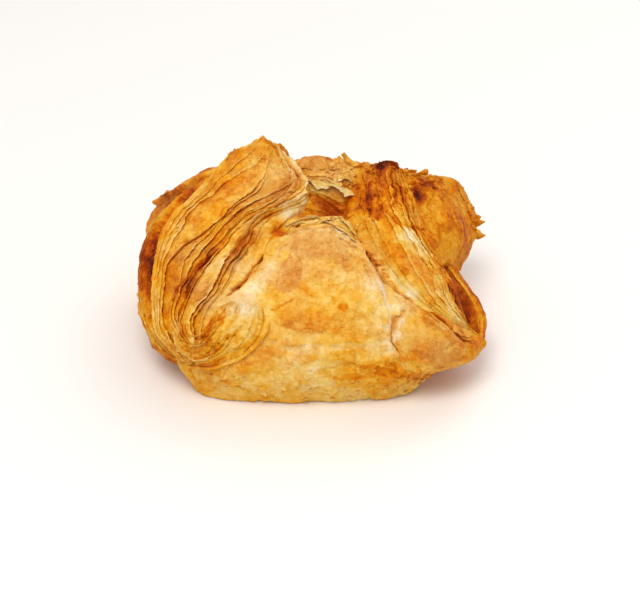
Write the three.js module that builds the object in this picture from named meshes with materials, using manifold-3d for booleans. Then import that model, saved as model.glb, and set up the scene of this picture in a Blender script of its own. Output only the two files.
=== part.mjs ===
// A turnover of flaky puff pastry: a square of dough whose corners are folded to the middle and baked, so
// that four flaps meet round a small hollow at the top and a puffed ear stands out at each corner.
// Millimetres, +Z up, +X to the right, +Y away from the front flap. The whole pastry is one solid.

import * as THREE from "three";
import Module from "manifold-3d";

const wasm = await Module();
wasm.setup();

// ---- Driving dimensions -------------------------------------------------------------------------------

const HEART = new THREE.Vector3(0, 2, 18); // the middle of the filling, which every fold reaches down towards
const FOLD_SHARE = 0.55; // how far a fold's solid reaches from its skin towards the heart
const EDGE_GAP = 0.12; // half the width of the drop between two sheets, as a share of a sheet
const TUCK_SHARE = 0.12; // the part of a fold over which a tucked side dives
const TUCK_DEPTH = 4; // how deep a tucked side ends under its neighbours
const SHORTEST_EDGE = 0.15; // shorter edges, left where solids cross, are drawn to a point
const SOLE_GAP = 0.15; // the folds end this far above the plane of the sole
const BOX_MIDDLE = [0.93, 0.61]; // the middle of the drawn outline in plan, which becomes the part's origin
const CRUST = { color: 0xd99a45, roughness: 0.62, metalness: 0 };

// Level rings of the plain parcel under the flaps, from the sole to the floor of the hollow at the top:
// each is a rounded square with its middle, half width, half depth, squareness and height.
const RINGS = [
  { x: 1, y: 0.5, halfWidth: 36.5, halfDepth: 37.2, square: 3.4, z: 0 },
  { x: 0.5, y: 0, halfWidth: 40.5, halfDepth: 41, square: 3.2, z: 5 },
  { x: 0, y: 0, halfWidth: 42, halfDepth: 42, square: 2.8, z: 15 },
  { x: 0, y: 0, halfWidth: 39, halfDepth: 38, square: 2.6, z: 27 },
  { x: 0, y: 2, halfWidth: 31, halfDepth: 26, square: 2.4, z: 37 },
  { x: 4, y: 6, halfWidth: 14, halfDepth: 11, square: 2.2, z: 42 },
  { x: 4, y: 5, halfWidth: 7, halfDepth: 5, square: 2.0, z: 36 },
];
const RING_STEPS = { around: 72, between: 3 };

// Broad swellings of the parcel: azimuth in degrees from +X, ring that they stand on, spread and lift.
const SWELLINGS = [
  { azimuth: 160, ring: 4.3, wide: 34, tall: 0.8, out: 0, up: 9 }, // under the high left fold
  { azimuth: 25, ring: 4.6, wide: 26, tall: 0.7, out: 1, up: 4 }, // under the right fold
  { azimuth: 90, ring: 5, wide: 34, tall: 0.5, out: 2, up: 2 }, // under the back flap
];

// Puffed lumps of the parcel: middle, radii and turn about Z in degrees.
const PUFFS = [
  { middle: [-38, 23, 21.5], radii: [15.5, 14, 13.5], turn: 30 }, // back left ear
  { middle: [40, 22, 20], radii: [14, 12, 12], turn: 25 }, // back right ear
  { middle: [-13, 16, 40], radii: [11, 9, 14], turn: 0 }, // behind the peak of the left flap
  { middle: [20, 16, 38], radii: [12, 8, 9], turn: 0 }, // behind the top of the right flap
];
const PUFF_STEPS = { around: 30, down: 16 };

// Rails that two folds share, each run from the top of the pastry to a corner.
const LEFT_CREST = [
  [-16, 14.5, 59.5], [-23.5, 15, 55.5], [-37, 5, 46], [-44, -6, 39.5],
  [-47.5, -19, 28], [-45.5, -30, 18], [-37.5, -38, 13],
];
const RIGHT_VALLEY = [
  [28.5, 17, 47], [31, 11, 43], [34.5, 0, 37.5], [38.5, -9, 31],
  [43, -16, 25.5], [46, -22, 20], [49, -27, 15],
];

// A rail moved by a step, so that a fold can start under its neighbour.
const moved = (rail, step) => rail.map((point) => point.map((c, i) => c + step[i]));

// Each fold is a skin through its rails. Sheets of dough end one after another across it, and each stands
// proud of the next by the rise; crowd above one packs the sheets towards the last rail. A side named in tuck
// dives under its neighbours.
const FOLDS = {
  // The left flap, lifted so that its cut edge faces forward and shows its sheets like the pages of a book.
  left: {
    rails: [
      LEFT_CREST,
      [
        [-15, 14, 60.2], [-17, 11, 57], [-26, 4, 48.5], [-32.5, -8, 42.5],
        [-37.5, -23, 34], [-36, -35, 23.5], [-36.5, -39, 13.5],
      ],
      [
        [-14, 14, 60], [-12, 11, 56], [-14.5, 3, 49], [-20.5, -10, 44.5],
        [-26.5, -25, 37], [-26, -38.5, 26], [-36, -40, 13.5],
      ],
      [
        [-13, 13.5, 59], [-6, 12, 53], [-2.5, 6, 46.5], [-7.5, -3, 42],
        [-15.5, -18, 36], [-13.5, -37, 28.5], [-35, -40, 12.5],
      ],
    ],
    along: 26,
    sheets: 13,
    crowd: 1.35,
    rise: 1.5,
  },
  // The outer side of the left flap: a hollowed face behind a thin upright shell.
  left_side: {
    rails: [
      moved(LEFT_CREST, [1.5, 1, -2]),
      [
        [-17, 17, 56.5], [-28, 18, 49], [-41, 9, 39.5], [-46, -2, 31],
        [-47.5, -14, 22.5], [-45.5, -26, 15.5], [-38, -36.5, 11],
      ],
      [
        [-18, 20, 52.5], [-32, 20, 44], [-47.5, 12, 33.5], [-53.3, 0, 25],
        [-53, -12, 18.5], [-49, -25, 13.5], [-40, -36, 9],
      ],
      [
        [-20, 24, 45], [-38, 24, 30], [-47, 14, 18], [-50, 1, 11],
        [-49.5, -12, 8], [-46, -25, 6], [-37, -36, 4.5],
      ],
      [
        [-20, 26, 30], [-36, 26, 14], [-41, 16, 3], [-41, 2, 1],
        [-41, -12, 1], [-40, -24, 1], [-34, -35, 1],
      ],
    ],
    along: 22,
    sheets: 7,
    crowd: 1,
    rise: 0.8,
    tuck: ["last"],
  },
  // The right flap, whose sheets open outwards over the ear.
  right: {
    rails: [
      [
        [10, 20, 49.5], [13, 9, 45], [13, -4, 41], [18.5, -20, 38],
        [26, -32, 34.5], [37.5, -36, 27.5], [49, -27, 15],
      ],
      [
        [17, 16, 49.5], [19, 6, 46.5], [21, -8, 43.5], [25.5, -22, 40],
        [32, -31.5, 35], [40.5, -33.5, 27], [49.5, -26.8, 15.4],
      ],
      [
        [24, 12, 52.5], [25.5, 5, 47], [28, -7, 43], [32.5, -16, 38],
        [38.5, -25, 32], [43.5, -28, 24.5], [49.5, -26.6, 15.2],
      ],
      RIGHT_VALLEY,
    ],
    along: 24,
    sheets: 8,
    crowd: 1,
    rise: 1.1,
  },
  // The curled shell that stands off the right flap, with a dark gap between them.
  right_side: {
    rails: [
      [[35.5, -3, 22], [38.5, -8, 18.6], [41.7, -13, 15.4], [44.2, -18, 13.4], [46.2, -22, 12], [47.6, -26, 11.2]],
      [
        [40, -1, 28], [44.5, -3, 23.5], [48.5, -8, 20],
        [51.5, -14, 17.2], [52.8, -19, 15], [51.5, -26, 12.5],
      ],
      [[42, 1, 20], [46, -2, 16.5], [49.5, -8, 13], [51, -14, 10.5], [50.8, -20, 9], [49, -26.5, 9]],
      [[38, 2, 6], [40, -4, 5], [42, -10, 4], [43, -16, 4], [42, -22, 4], [40, -28, 4]],
    ],
    along: 16,
    sheets: 5,
    crowd: 1,
    rise: 0.6,
    tuck: ["last"],
  },
  // The puffed front right corner, a smooth dome that overhangs the foot.
  front_ear: {
    rails: [
      [[20, -26, 35], [30, -34, 32.5], [38, -35.5, 27], [44.5, -32, 20.5], [50, -26.5, 15.5]],
      [[23, -38.5, 29], [31, -41, 24.5], [39, -41, 20], [46.5, -36.5, 16], [52.5, -27, 12.5]],
      [[25, -42.5, 16], [32, -42.5, 13], [39, -39.5, 10.5], [45, -34.5, 9], [51, -28, 9]],
      [[24, -38, 5], [30, -37, 4.5], [35, -34, 4.5], [39, -30, 5], [43, -26, 6]],
    ],
    along: 14,
    sheets: 6,
    crowd: 1,
    rise: 0.3,
    tuck: ["start"],
  },
  // The front flap, the widest smooth face, from its thin top edge down to the sole.
  front: {
    rails: [
      [[-12, -9, 39], [-4, -4, 41], [4.5, -3, 42], [10.5, -3, 41.5], [16, -7, 39]],
      [[-20, -20, 34], [-8, -19.5, 39.5], [4.5, -21, 42.3], [12, -21, 40.5], [23, -25, 35]],
      [[-25, -35, 25], [-13, -37, 30], [4, -38.5, 31.7], [19, -38, 31], [29, -35, 26]],
      [[-40, -36.5, 11], [-20, -43.5, 14], [3, -44.8, 15], [22, -43.5, 14.5], [39, -37, 8]],
      [[-36, -32, 0.6], [-20, -36.6, 0.4], [2, -37, 0.3], [23, -36.8, 0.4], [39, -31, 0.6]],
    ],
    along: 22,
    sheets: 9,
    crowd: 1,
    rise: 0.35,
    tuck: ["start", "end"],
  },
  // The back flap, from its lip over the hollow, over the back ridge and down to the sole.
  back: {
    rails: [
      [[-5, 9, 45], [2, 8.5, 45.5], [7, 8, 45.5], [13, 7, 44]],
      [[-9, 20, 48], [0, 21, 49.5], [7, 20.5, 49], [16, 18, 47]],
      [[-20, 32, 38], [-6, 34, 39], [8, 34, 39], [22, 30, 37]],
      [[-36, 41, 17], [-12, 45.5, 17], [12, 45.5, 17], [34, 41, 17]],
      [[-30, 36, 0.6], [-10, 39, 0.4], [10, 39, 0.4], [30, 36, 0.6]],
    ],
    along: 20,
    sheets: 9,
    crowd: 1,
    rise: -0.5,
    tuck: ["start", "end"],
  },
  // The broad face of the back right corner.
  right_corner: {
    rails: [
      [[28.5, 18, 46.5], [31, 12, 42.5], [34.5, 0, 37.5], [38.5, -9, 30]],
      [[30, 20, 46], [38, 16, 41.5], [44.5, 7, 34], [43.5, -2, 25.5]],
      [[31.5, 22, 44], [46, 30, 36.5], [54.5, 30, 22], [47.5, 4, 18.5]],
    ],
    along: 16,
    sheets: 6,
    crowd: 1,
    rise: 0.6,
  },
  // Cut edges that run up from the two back corners and lie on the back flap.
  back_left: {
    rails: [
      [[-14, 17, 58], [-24, 21, 51], [-38, 26, 40], [-49, 29, 27]],
      [[-9, 20, 54], [-19, 27, 48], [-34, 33, 36], [-46, 36, 22]],
      [[-7, 23, 49], [-14, 30, 43], [-28, 38, 32], [-38, 42, 17]],
    ],
    along: 18,
    sheets: 6,
    crowd: 1,
    rise: 1,
  },
  back_right: {
    rails: [
      [[27, 18, 48], [34, 23, 43], [43, 28, 35.5], [51, 31, 25]],
      [[21, 20, 48.5], [28, 27, 41], [38, 34, 32], [46, 38, 20]],
      [[15, 21, 48], [22, 30, 40], [31, 38, 30], [38, 42, 17]],
    ],
    along: 18,
    sheets: 6,
    crowd: 1,
    rise: 1,
  },
};

// Loose corners of sheets that stand up: root, tip, width at the root and thickness.
const FLAKES = [
  { root: [12, 17, 46.5], tip: [10.6, 20, 50.6], width: 8, thick: 1.2 },
  { root: [50, 27, 23], tip: [56, 29.5, 22], width: 9, thick: 1.4 },
  { root: [33, 20, 43], tip: [35, 22.5, 45.5], width: 9, thick: 1.2 },
  { root: [-49, -10, 21], tip: [-54, -16, 18], width: 8, thick: 1.4 },
  { root: [-43, -29, 15], tip: [-47.5, -31, 11.5], width: 8, thick: 1.4 },
  { root: [2, 14, 46.5], tip: [6.5, 5.5, 45.5], width: 9, thick: 1.0 },
  { root: [9, 12, 45.5], tip: [12, 5.5, 43.5], width: 7, thick: 1.0 },
];

// ---- Closed meshes ------------------------------------------------------------------------------------

const MERGE = 1e4; // vertices are one where they agree to a tenth of a micrometre

// A solid from a list of points and triangles, with equal points joined and collapsed triangles left out.
function solidFrom(points, triangles) {
  const index = new Map();
  const positions = [];
  const merged = points.map((p) => {
    const key = p.toArray().map((c) => Math.round(c * MERGE)).join();
    if (!index.has(key)) {
      index.set(key, index.size);
      positions.push(...p.toArray());
    }
    return index.get(key);
  });
  const kept = triangles
    .map((t) => t.map((i) => merged[i]))
    .filter(([a, b, c]) => a !== b && b !== c && c !== a);
  const build = (faces) =>
    new wasm.Manifold(
      new wasm.Mesh({
        numProp: 3,
        vertProperties: new Float32Array(positions),
        triVerts: new Uint32Array(faces.flat()),
      }),
    );
  const made = build(kept);
  return made.volume() > 0 ? made : build(kept.map(([a, b, c]) => [a, c, b]));
}

// Triangles of a grid of points, rows by columns, joined round its columns where it closes on itself.
function gridTriangles(rows, columns, { offset = 0, closed = false, flip = false } = {}) {
  const triangles = [];
  for (let i = 0; i < rows - 1; i++) {
    for (let j = 0; j < (closed ? columns : columns - 1); j++) {
      const next = (j + 1) % columns;
      const [a, b] = [offset + i * columns + j, offset + i * columns + next];
      const [c, d] = [a + columns, b + columns];
      triangles.push(...(flip ? [[a, c, b], [b, c, d]] : [[a, b, c], [b, d, c]]));
    }
  }
  return triangles;
}

// ---- The plain parcel ---------------------------------------------------------------------------------

// Slow dimples and swells of baked dough, in millimetres.
function undulation(p) {
  return (
    0.45 * Math.sin(0.31 * p.x + 1.3 * Math.sin(0.17 * p.z)) * Math.cos(0.27 * p.y + 0.4) +
    0.3 * Math.sin(0.52 * p.y - 0.38 * p.z + 0.9) * Math.cos(0.43 * p.x + 1.1)
  );
}

function ringPoint(level, azimuth) {
  const i = Math.min(Math.floor(level), RINGS.length - 2);
  const f = level - i;
  const value = (key) => {
    const at = (k) => RINGS[Math.max(0, Math.min(RINGS.length - 1, k))][key];
    const [a, b, c, d] = [at(i - 1), at(i), at(i + 1), at(i + 2)];
    const bend = 2 * a - 5 * b + 4 * c - d;
    const twist = 3 * b - a - 3 * c + d;
    return 0.5 * (2 * b + (c - a) * f + bend * f ** 2 + twist * f ** 3);
  };
  const [w, d, n] = [value("halfWidth"), value("halfDepth"), value("square")];
  const [cos, sin] = [Math.cos(azimuth), Math.sin(azimuth)];
  let radius = (Math.abs(cos / w) ** n + Math.abs(sin / d) ** n) ** (-1 / n);
  let z = value("z");
  for (const s of SWELLINGS) {
    const turn = ((THREE.MathUtils.radToDeg(azimuth) - s.azimuth + 540) % 360) - 180;
    const weight = Math.exp(-((turn / s.wide) ** 2) - ((level - s.ring) / s.tall) ** 2);
    radius += s.out * weight;
    z += s.up * weight;
  }
  return new THREE.Vector3(value("x") + radius * cos, value("y") + radius * sin, z);
}

function parcel() {
  const { around, between } = RING_STEPS;
  const rows = (RINGS.length - 1) * between + 1;
  const points = [];
  for (let i = 0; i < rows; i++) {
    for (let j = 0; j < around; j++) {
      const p = ringPoint(i / between, (2 * Math.PI * j) / around);
      if (i > between) p.addScaledVector(p.clone().sub(HEART).normalize(), undulation(p));
      p.z = i === 0 ? 0 : Math.max(p.z, 0.05);
      points.push(p);
    }
  }
  const triangles = gridTriangles(rows, around, { closed: true });
  const sole = points.push(new THREE.Vector3(RINGS[0].x, RINGS[0].y, 0)) - 1;
  const last = RINGS[RINGS.length - 1];
  const floor = points.push(new THREE.Vector3(last.x, last.y, last.z - 1)) - 1;
  const top = (rows - 1) * around;
  for (let j = 0; j < around; j++) {
    const next = (j + 1) % around;
    triangles.push([sole, next, j], [floor, top + j, top + next]);
  }
  return solidFrom(points, triangles);
}

// ---- Puffs --------------------------------------------------------------------------------------------

function puff({ middle, radii, turn }) {
  const geometry = new THREE.SphereGeometry(1, PUFF_STEPS.around, PUFF_STEPS.down);
  geometry.rotateX(Math.PI / 2).scale(...radii).rotateZ(THREE.MathUtils.degToRad(turn)).translate(...middle);
  const at = geometry.getAttribute("position");
  const vertex = (i) => new THREE.Vector3().fromBufferAttribute(at, i);
  const points = Array.from({ length: at.count }, (_, i) => vertex(i));
  const centre = new THREE.Vector3(...middle);
  for (const p of points) p.addScaledVector(p.clone().sub(centre).normalize(), undulation(p));
  const order = Array.from(geometry.index.array);
  const triangles = Array.from({ length: order.length / 3 }, (_, i) => order.slice(3 * i, 3 * i + 3));
  return solidFrom(points, triangles);
}

// ---- Folds --------------------------------------------------------------------------------------------

const curveThrough = (points) => new THREE.CatmullRomCurve3(points, false, "catmullrom", 0.5);

// How far a named side of a fold has dived under its neighbours, from 0 on the open skin to 1 at that side.
const TUCKS = {
  first: (u, v) => 1 - v / TUCK_SHARE,
  last: (u, v) => 1 - (1 - v) / TUCK_SHARE,
  start: (u) => 1 - u / TUCK_SHARE,
  end: (u) => 1 - (1 - u) / TUCK_SHARE,
};

// One row of a fold's skin at the share u along its rails. Each sheet gives two points, one at each of its
// edges, and the edges wander from row to row.
function sheetRow(skin, u, { sheets, crowd, rise, tuck = [] }) {
  const fade = Math.min(1, 5 * u, 5 * (1 - u));
  const row = [];
  for (let edge = 0; edge <= sheets; edge++) {
    const inside = edge > 0 && edge < sheets;
    const wander = inside ? 0.3 * Math.sin(6.1 * u + 2.3 * edge) + 0.12 * Math.sin(17 * u + 1.7 * edge) : 0;
    const height = inside ? rise * fade * (0.65 + 0.35 * Math.sin(4.3 * u + 2.9 * edge)) : 0;
    for (const side of inside ? [-1, 1] : [0]) {
      const share = (edge + wander + EDGE_GAP * side) / sheets;
      const v = 1 - (1 - share) ** crowd;
      const p = skin(u, v);
      const depth = tuck.reduce((most, name) => Math.max(most, TUCKS[name](u, v)), 0);
      p.addScaledVector(p.clone().sub(HEART).normalize(), -height * side - TUCK_DEPTH * depth ** 2);
      p.z = Math.max(p.z, SOLE_GAP);
      row.push(p);
    }
  }
  return row;
}

// A closed solid between a fold's skin and a copy of it drawn in towards the heart.
function fold(shape) {
  const curves = shape.rails.map((points) => curveThrough(points.map((p) => new THREE.Vector3(...p))));
  const skin = (u, v) => curveThrough(curves.map((c) => c.getPoint(u))).getPoint(v);
  const rows = shape.along + 1;
  const points = Array.from({ length: rows }, (_, i) => sheetRow(skin, i / shape.along, shape)).flat();
  const columns = points.length / rows;
  const count = points.length;
  const inner = points.map((p) => p.clone().lerp(HEART, FOLD_SHARE));
  const triangles = [
    ...gridTriangles(rows, columns),
    ...gridTriangles(rows, columns, { offset: count, flip: true }),
  ];
  const wall = (a, b) => triangles.push([a, a + count, b], [b, a + count, b + count]);
  for (let j = 0; j < columns - 1; j++) {
    wall(j, j + 1);
    wall((rows - 1) * columns + j + 1, (rows - 1) * columns + j);
  }
  for (let i = 0; i < rows - 1; i++) {
    wall((i + 1) * columns, i * columns);
    wall(i * columns + columns - 1, (i + 1) * columns + columns - 1);
  }
  return solidFrom([...points, ...inner], triangles);
}

// ---- Flakes -------------------------------------------------------------------------------------------

// A loose corner of a sheet: a thin plate from a broad root to a blunt tip, slightly wider across than thick.
function flake({ root, tip, width, thick }) {
  const [from, to] = [new THREE.Vector3(...root), new THREE.Vector3(...tip)];
  const run = to.clone().sub(from);
  from.addScaledVector(run, -0.8);
  const across = new THREE.Vector3().crossVectors(run, from.clone().sub(HEART)).normalize();
  const up = new THREE.Vector3().crossVectors(across, run).normalize();
  const corners = [];
  for (const [end, half, deep] of [[from, width / 2, thick / 2], [to, width / 8, thick / 4]]) {
    for (const [a, b] of [[-1, -1], [1, -1], [1, 1], [-1, 1]]) {
      corners.push(end.clone().addScaledVector(across, a * half).addScaledVector(up, b * deep));
    }
  }
  const triangles = [[0, 2, 1], [0, 3, 2], [4, 5, 6], [4, 6, 7]];
  for (let i = 0; i < 4; i++) {
    const next = (i + 1) % 4;
    triangles.push([i, next, i + 4], [next, next + 4, i + 4]);
  }
  return solidFrom(corners, triangles);
}

// ---- The pastry ---------------------------------------------------------------------------------------

// Joins the solids and keeps the outer shell, so that a hollow sealed between two folds is filled.
function fused(solids) {
  const joined = solids.reduce((sum, s) => sum.add(s));
  return joined
    .decompose()
    .filter((s) => s.volume() > 0)
    .reduce((largest, s) => (s.volume() > largest.volume() ? s : largest));
}

// Joining leaves crumbs of triangles along each seam. Every edge under the given length is drawn to a point
// where that keeps the surface closed and turns no face over.
function withoutCrumbs({ vertProperties, triVerts }, shortest) {
  const at = (i) => new THREE.Vector3().fromArray(vertProperties, 3 * i);
  const corners = (i) => Array.from(triVerts.slice(3 * i, 3 * i + 3));
  const faces = Array.from({ length: triVerts.length / 3 }, (_, i) => corners(i));
  const facesAt = new Map();
  faces.forEach((face, f) => face.forEach((i) => facesAt.set(i, (facesAt.get(i) ?? new Set()).add(f))));
  const ring = (i) => new Set([...facesAt.get(i)].flatMap((f) => faces[f]).filter((j) => j !== i));
  const normal = ([a, b, c]) => new THREE.Triangle(at(a), at(b), at(c)).getNormal(new THREE.Vector3());
  const area = ([a, b, c]) => new THREE.Triangle(at(a), at(b), at(c)).getArea();
  const canDraw = (from, to) => {
    const toRing = ring(to);
    if ([...ring(from)].filter((j) => toRing.has(j)).length !== 2) return false;
    return [...facesAt.get(from)]
      .map((f) => faces[f])
      .filter((face) => !face.includes(to) && area(face) > shortest ** 2)
      .every((face) => normal(face).dot(normal(face.map((i) => (i === from ? to : i)))) > 0.3);
  };
  const draw = (from, to) => {
    for (const f of facesAt.get(from)) {
      if (faces[f].includes(to)) {
        faces[f].forEach((i) => i !== from && facesAt.get(i).delete(f));
        faces[f] = null;
      } else {
        faces[f] = faces[f].map((i) => (i === from ? to : i));
        facesAt.get(to).add(f);
      }
    }
    facesAt.delete(from);
  };
  for (let f = 0; f < faces.length; f++) {
    for (let k = 0; faces[f] && k < 3; k++) {
      const [a, b] = [faces[f][k], faces[f][(k + 1) % 3]];
      if (at(a).distanceTo(at(b)) > shortest) continue;
      if (canDraw(b, a)) draw(b, a);
      else if (canDraw(a, b)) draw(a, b);
    }
  }
  return new THREE.BufferGeometry()
    .setAttribute("position", new THREE.BufferAttribute(vertProperties, 3))
    .setIndex(faces.filter(Boolean).flat());
}

const folds = Object.values(FOLDS).map(fold);
const whole = fused([parcel(), ...PUFFS.map(puff), ...folds, ...FLAKES.map(flake)]);
const geometry = withoutCrumbs(whole.getMesh(), SHORTEST_EDGE).translate(-BOX_MIDDLE[0], -BOX_MIDDLE[1], 0);
geometry.computeVertexNormals();

const pastry = new THREE.Mesh(geometry, new THREE.MeshStandardMaterial(CRUST));
pastry.name = "pastry";

const group = new THREE.Group();
group.add(pastry);
export default group;
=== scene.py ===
"""A turnover of flaky puff pastry, laid out as an add-on: a square of dough whose corners are folded to the
middle, baked until its sheets lift, crack and brown. Sizes inside the builders are millimetres in the drawn
frame; a mesh gets metres in the part's own frame when it is made."""

import math

import bpy
import numpy as np
from bpy.props import FloatProperty, FloatVectorProperty, IntProperty, PointerProperty
from bpy.types import Operator, Panel, PropertyGroup
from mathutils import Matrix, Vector


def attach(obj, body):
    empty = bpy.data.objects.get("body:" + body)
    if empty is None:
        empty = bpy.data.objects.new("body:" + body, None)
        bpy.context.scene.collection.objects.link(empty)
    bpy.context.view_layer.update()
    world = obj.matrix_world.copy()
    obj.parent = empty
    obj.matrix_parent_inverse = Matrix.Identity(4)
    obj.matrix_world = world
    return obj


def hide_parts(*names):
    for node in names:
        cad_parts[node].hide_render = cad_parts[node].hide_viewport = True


bl_info = {
    "name": "Puff pastry turnover",
    "version": (1, 0, 0),
    "blender": (4, 5, 0),
    "location": "3D View > Sidebar > Pastry",
    "description": "Bakes a turnover of flaky puff pastry with folded flaps and loose flakes",
    "category": "Add Mesh",
}

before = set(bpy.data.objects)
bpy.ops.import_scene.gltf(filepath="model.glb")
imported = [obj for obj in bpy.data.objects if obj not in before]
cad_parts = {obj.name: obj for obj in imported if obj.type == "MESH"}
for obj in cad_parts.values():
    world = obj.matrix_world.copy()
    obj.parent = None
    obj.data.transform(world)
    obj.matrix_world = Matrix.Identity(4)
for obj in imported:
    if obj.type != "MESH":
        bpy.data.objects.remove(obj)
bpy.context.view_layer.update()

# ---- The parcel's sizes, in millimetres --------------------------------------------------------------------

MM = 0.001
SHARP_FROM = math.radians(50)  # an edge that turns further than this stays sharp
HEART = np.array([0.0, 2.0, 18.0])  # the middle of the filling, which every fold reaches down towards
BOX_MIDDLE = np.array([0.93, 0.61, 0.0])  # the drawn frame's point that lies over the part's origin
SOLE_GAP = 0.15  # the folds end this far above the plane of the sole
FLAKE_GAP = 1.6  # flakes lie on crust that is further than this above it
TUCK_SHARE = 0.13  # the part of a fold over which a tucked side dives under its neighbours
TUCK_DEPTH = 4.0  # how deep a tucked side ends
PARCEL_DEPTH = 1.6  # how far the parcel lies under the skins that cover it
PARCEL_GRID = (130, 300)  # levels of the parcel and points round each
PUFF_GRID = (60, 100)  # the same for a puffed lump
ROW_STEP = 0.34  # spacing of a fold's rows along its rails
COLUMN_STEP = 0.36  # spacing of a fold's columns across its sheets
EDGE_POINTS = 11  # a sheet's edge is given at this many even steps along its fold
PAGE_STEP = 0.5  # how far each thin page shows beyond the sheet above it
BEND_SIZES = (9.0, 3.5)  # lengths over which an edge wanders
TEAR_SIZES = (5.0, 1.6, 0.8)  # lengths over which its overhang is torn
LIFT_SIZE = 8.0  # length over which its rise changes
PAGE_SIZE = 6.0  # length over which a page's step changes
ROLL = 1.2  # radius of the curve that carries the sides of a fold down
ROLL_TURN = 1.9  # how far round it they go, in radians
ROLL_ROWS = 6  # rows of the grid round that curve
RIBBON_STEP = 0.3  # spacing of a ribbon's rows and columns
STROKE_DEPTH = 4.0  # a stroke marks the crust up to this far above and below its line
STROKE_MARGIN = 5.0  # crust further than this from a stroke's box is passed over
UNSEEN = 0.7  # every attribute of a fold at the heart, where nobody looks; the walls down to it show only in cracks and gaps, and towards it they grow browner and darker as painted shade
UNDERSIDE_BROWNING_AND_SHADE = {"bake": 0.04, "dark": 0.2}  # how much browner a side bakes where it goes under, and the painted shade that it gets there

# Level rings of the parcel under the flaps: middle x and y, half width, half depth, squareness and height.
RINGS = np.array(
    [
        [1, 0.5, 36.5, 37.2, 3.4, 0],
        [0.5, 0, 40.5, 41, 3.2, 5],
        [0, 0, 42, 42, 2.8, 15],
        [0, 0, 39, 38, 2.6, 27],
        [0, 2, 31, 26, 2.4, 37],
        [4, 6, 14, 11, 2.2, 42],
        [4, 5, 7, 5, 2.0, 36],
    ]
)

# Broad swellings of the parcel: azimuth, ring that they stand on, spread round and up, push out and lift.
SWELLINGS = [(160, 4.3, 34, 0.8, 0, 9), (25, 4.6, 26, 0.7, 1, 4), (90, 5, 34, 0.5, 2, 2)]

# Puffed lumps of the parcel: name, middle, radii and turn about Z in degrees.
PUFFS = [
    ("back_left_ear", (-38, 23, 21.5), (15.5, 14, 13.5), 30),
    ("back_right_ear", (39, 22, 21), (13, 12, 12), 25),
    ("peak_backing", (-13, 16, 40), (11, 9, 14), 0),
    ("right_backing", (20, 16, 38), (12, 8, 9), 0),
]

LEFT_CREST = [
    (-16, 14.5, 59.5), (-24, 14.5, 54.4), (-37, 5, 45), (-44, -6, 39.5), (-47.5, -19, 28),
    (-45.5, -30, 18), (-37.5, -38, 13),
]
LEFT_SEAM = [
    (-13, 13.5, 59), (-6, 12, 53), (-2.5, 6, 46.5), (-7.5, -3, 42), (-15.5, -18, 36),
    (-13.5, -37, 28.5), (-35, -40, 12.5),
]
RIGHT_VALLEY = [
    (28.5, 17, 47), (31, 11, 43), (34.5, 0, 37.5), (38.5, -9, 31), (43, -16, 25.5), (46, -22, 20),
    (49, -27, 15),
]


def moved(rail, step):
    """A rail moved by a step, so that a fold can start under its neighbour."""
    return [tuple(c + s for c, s in zip(point, step)) for point in rail]


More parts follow.
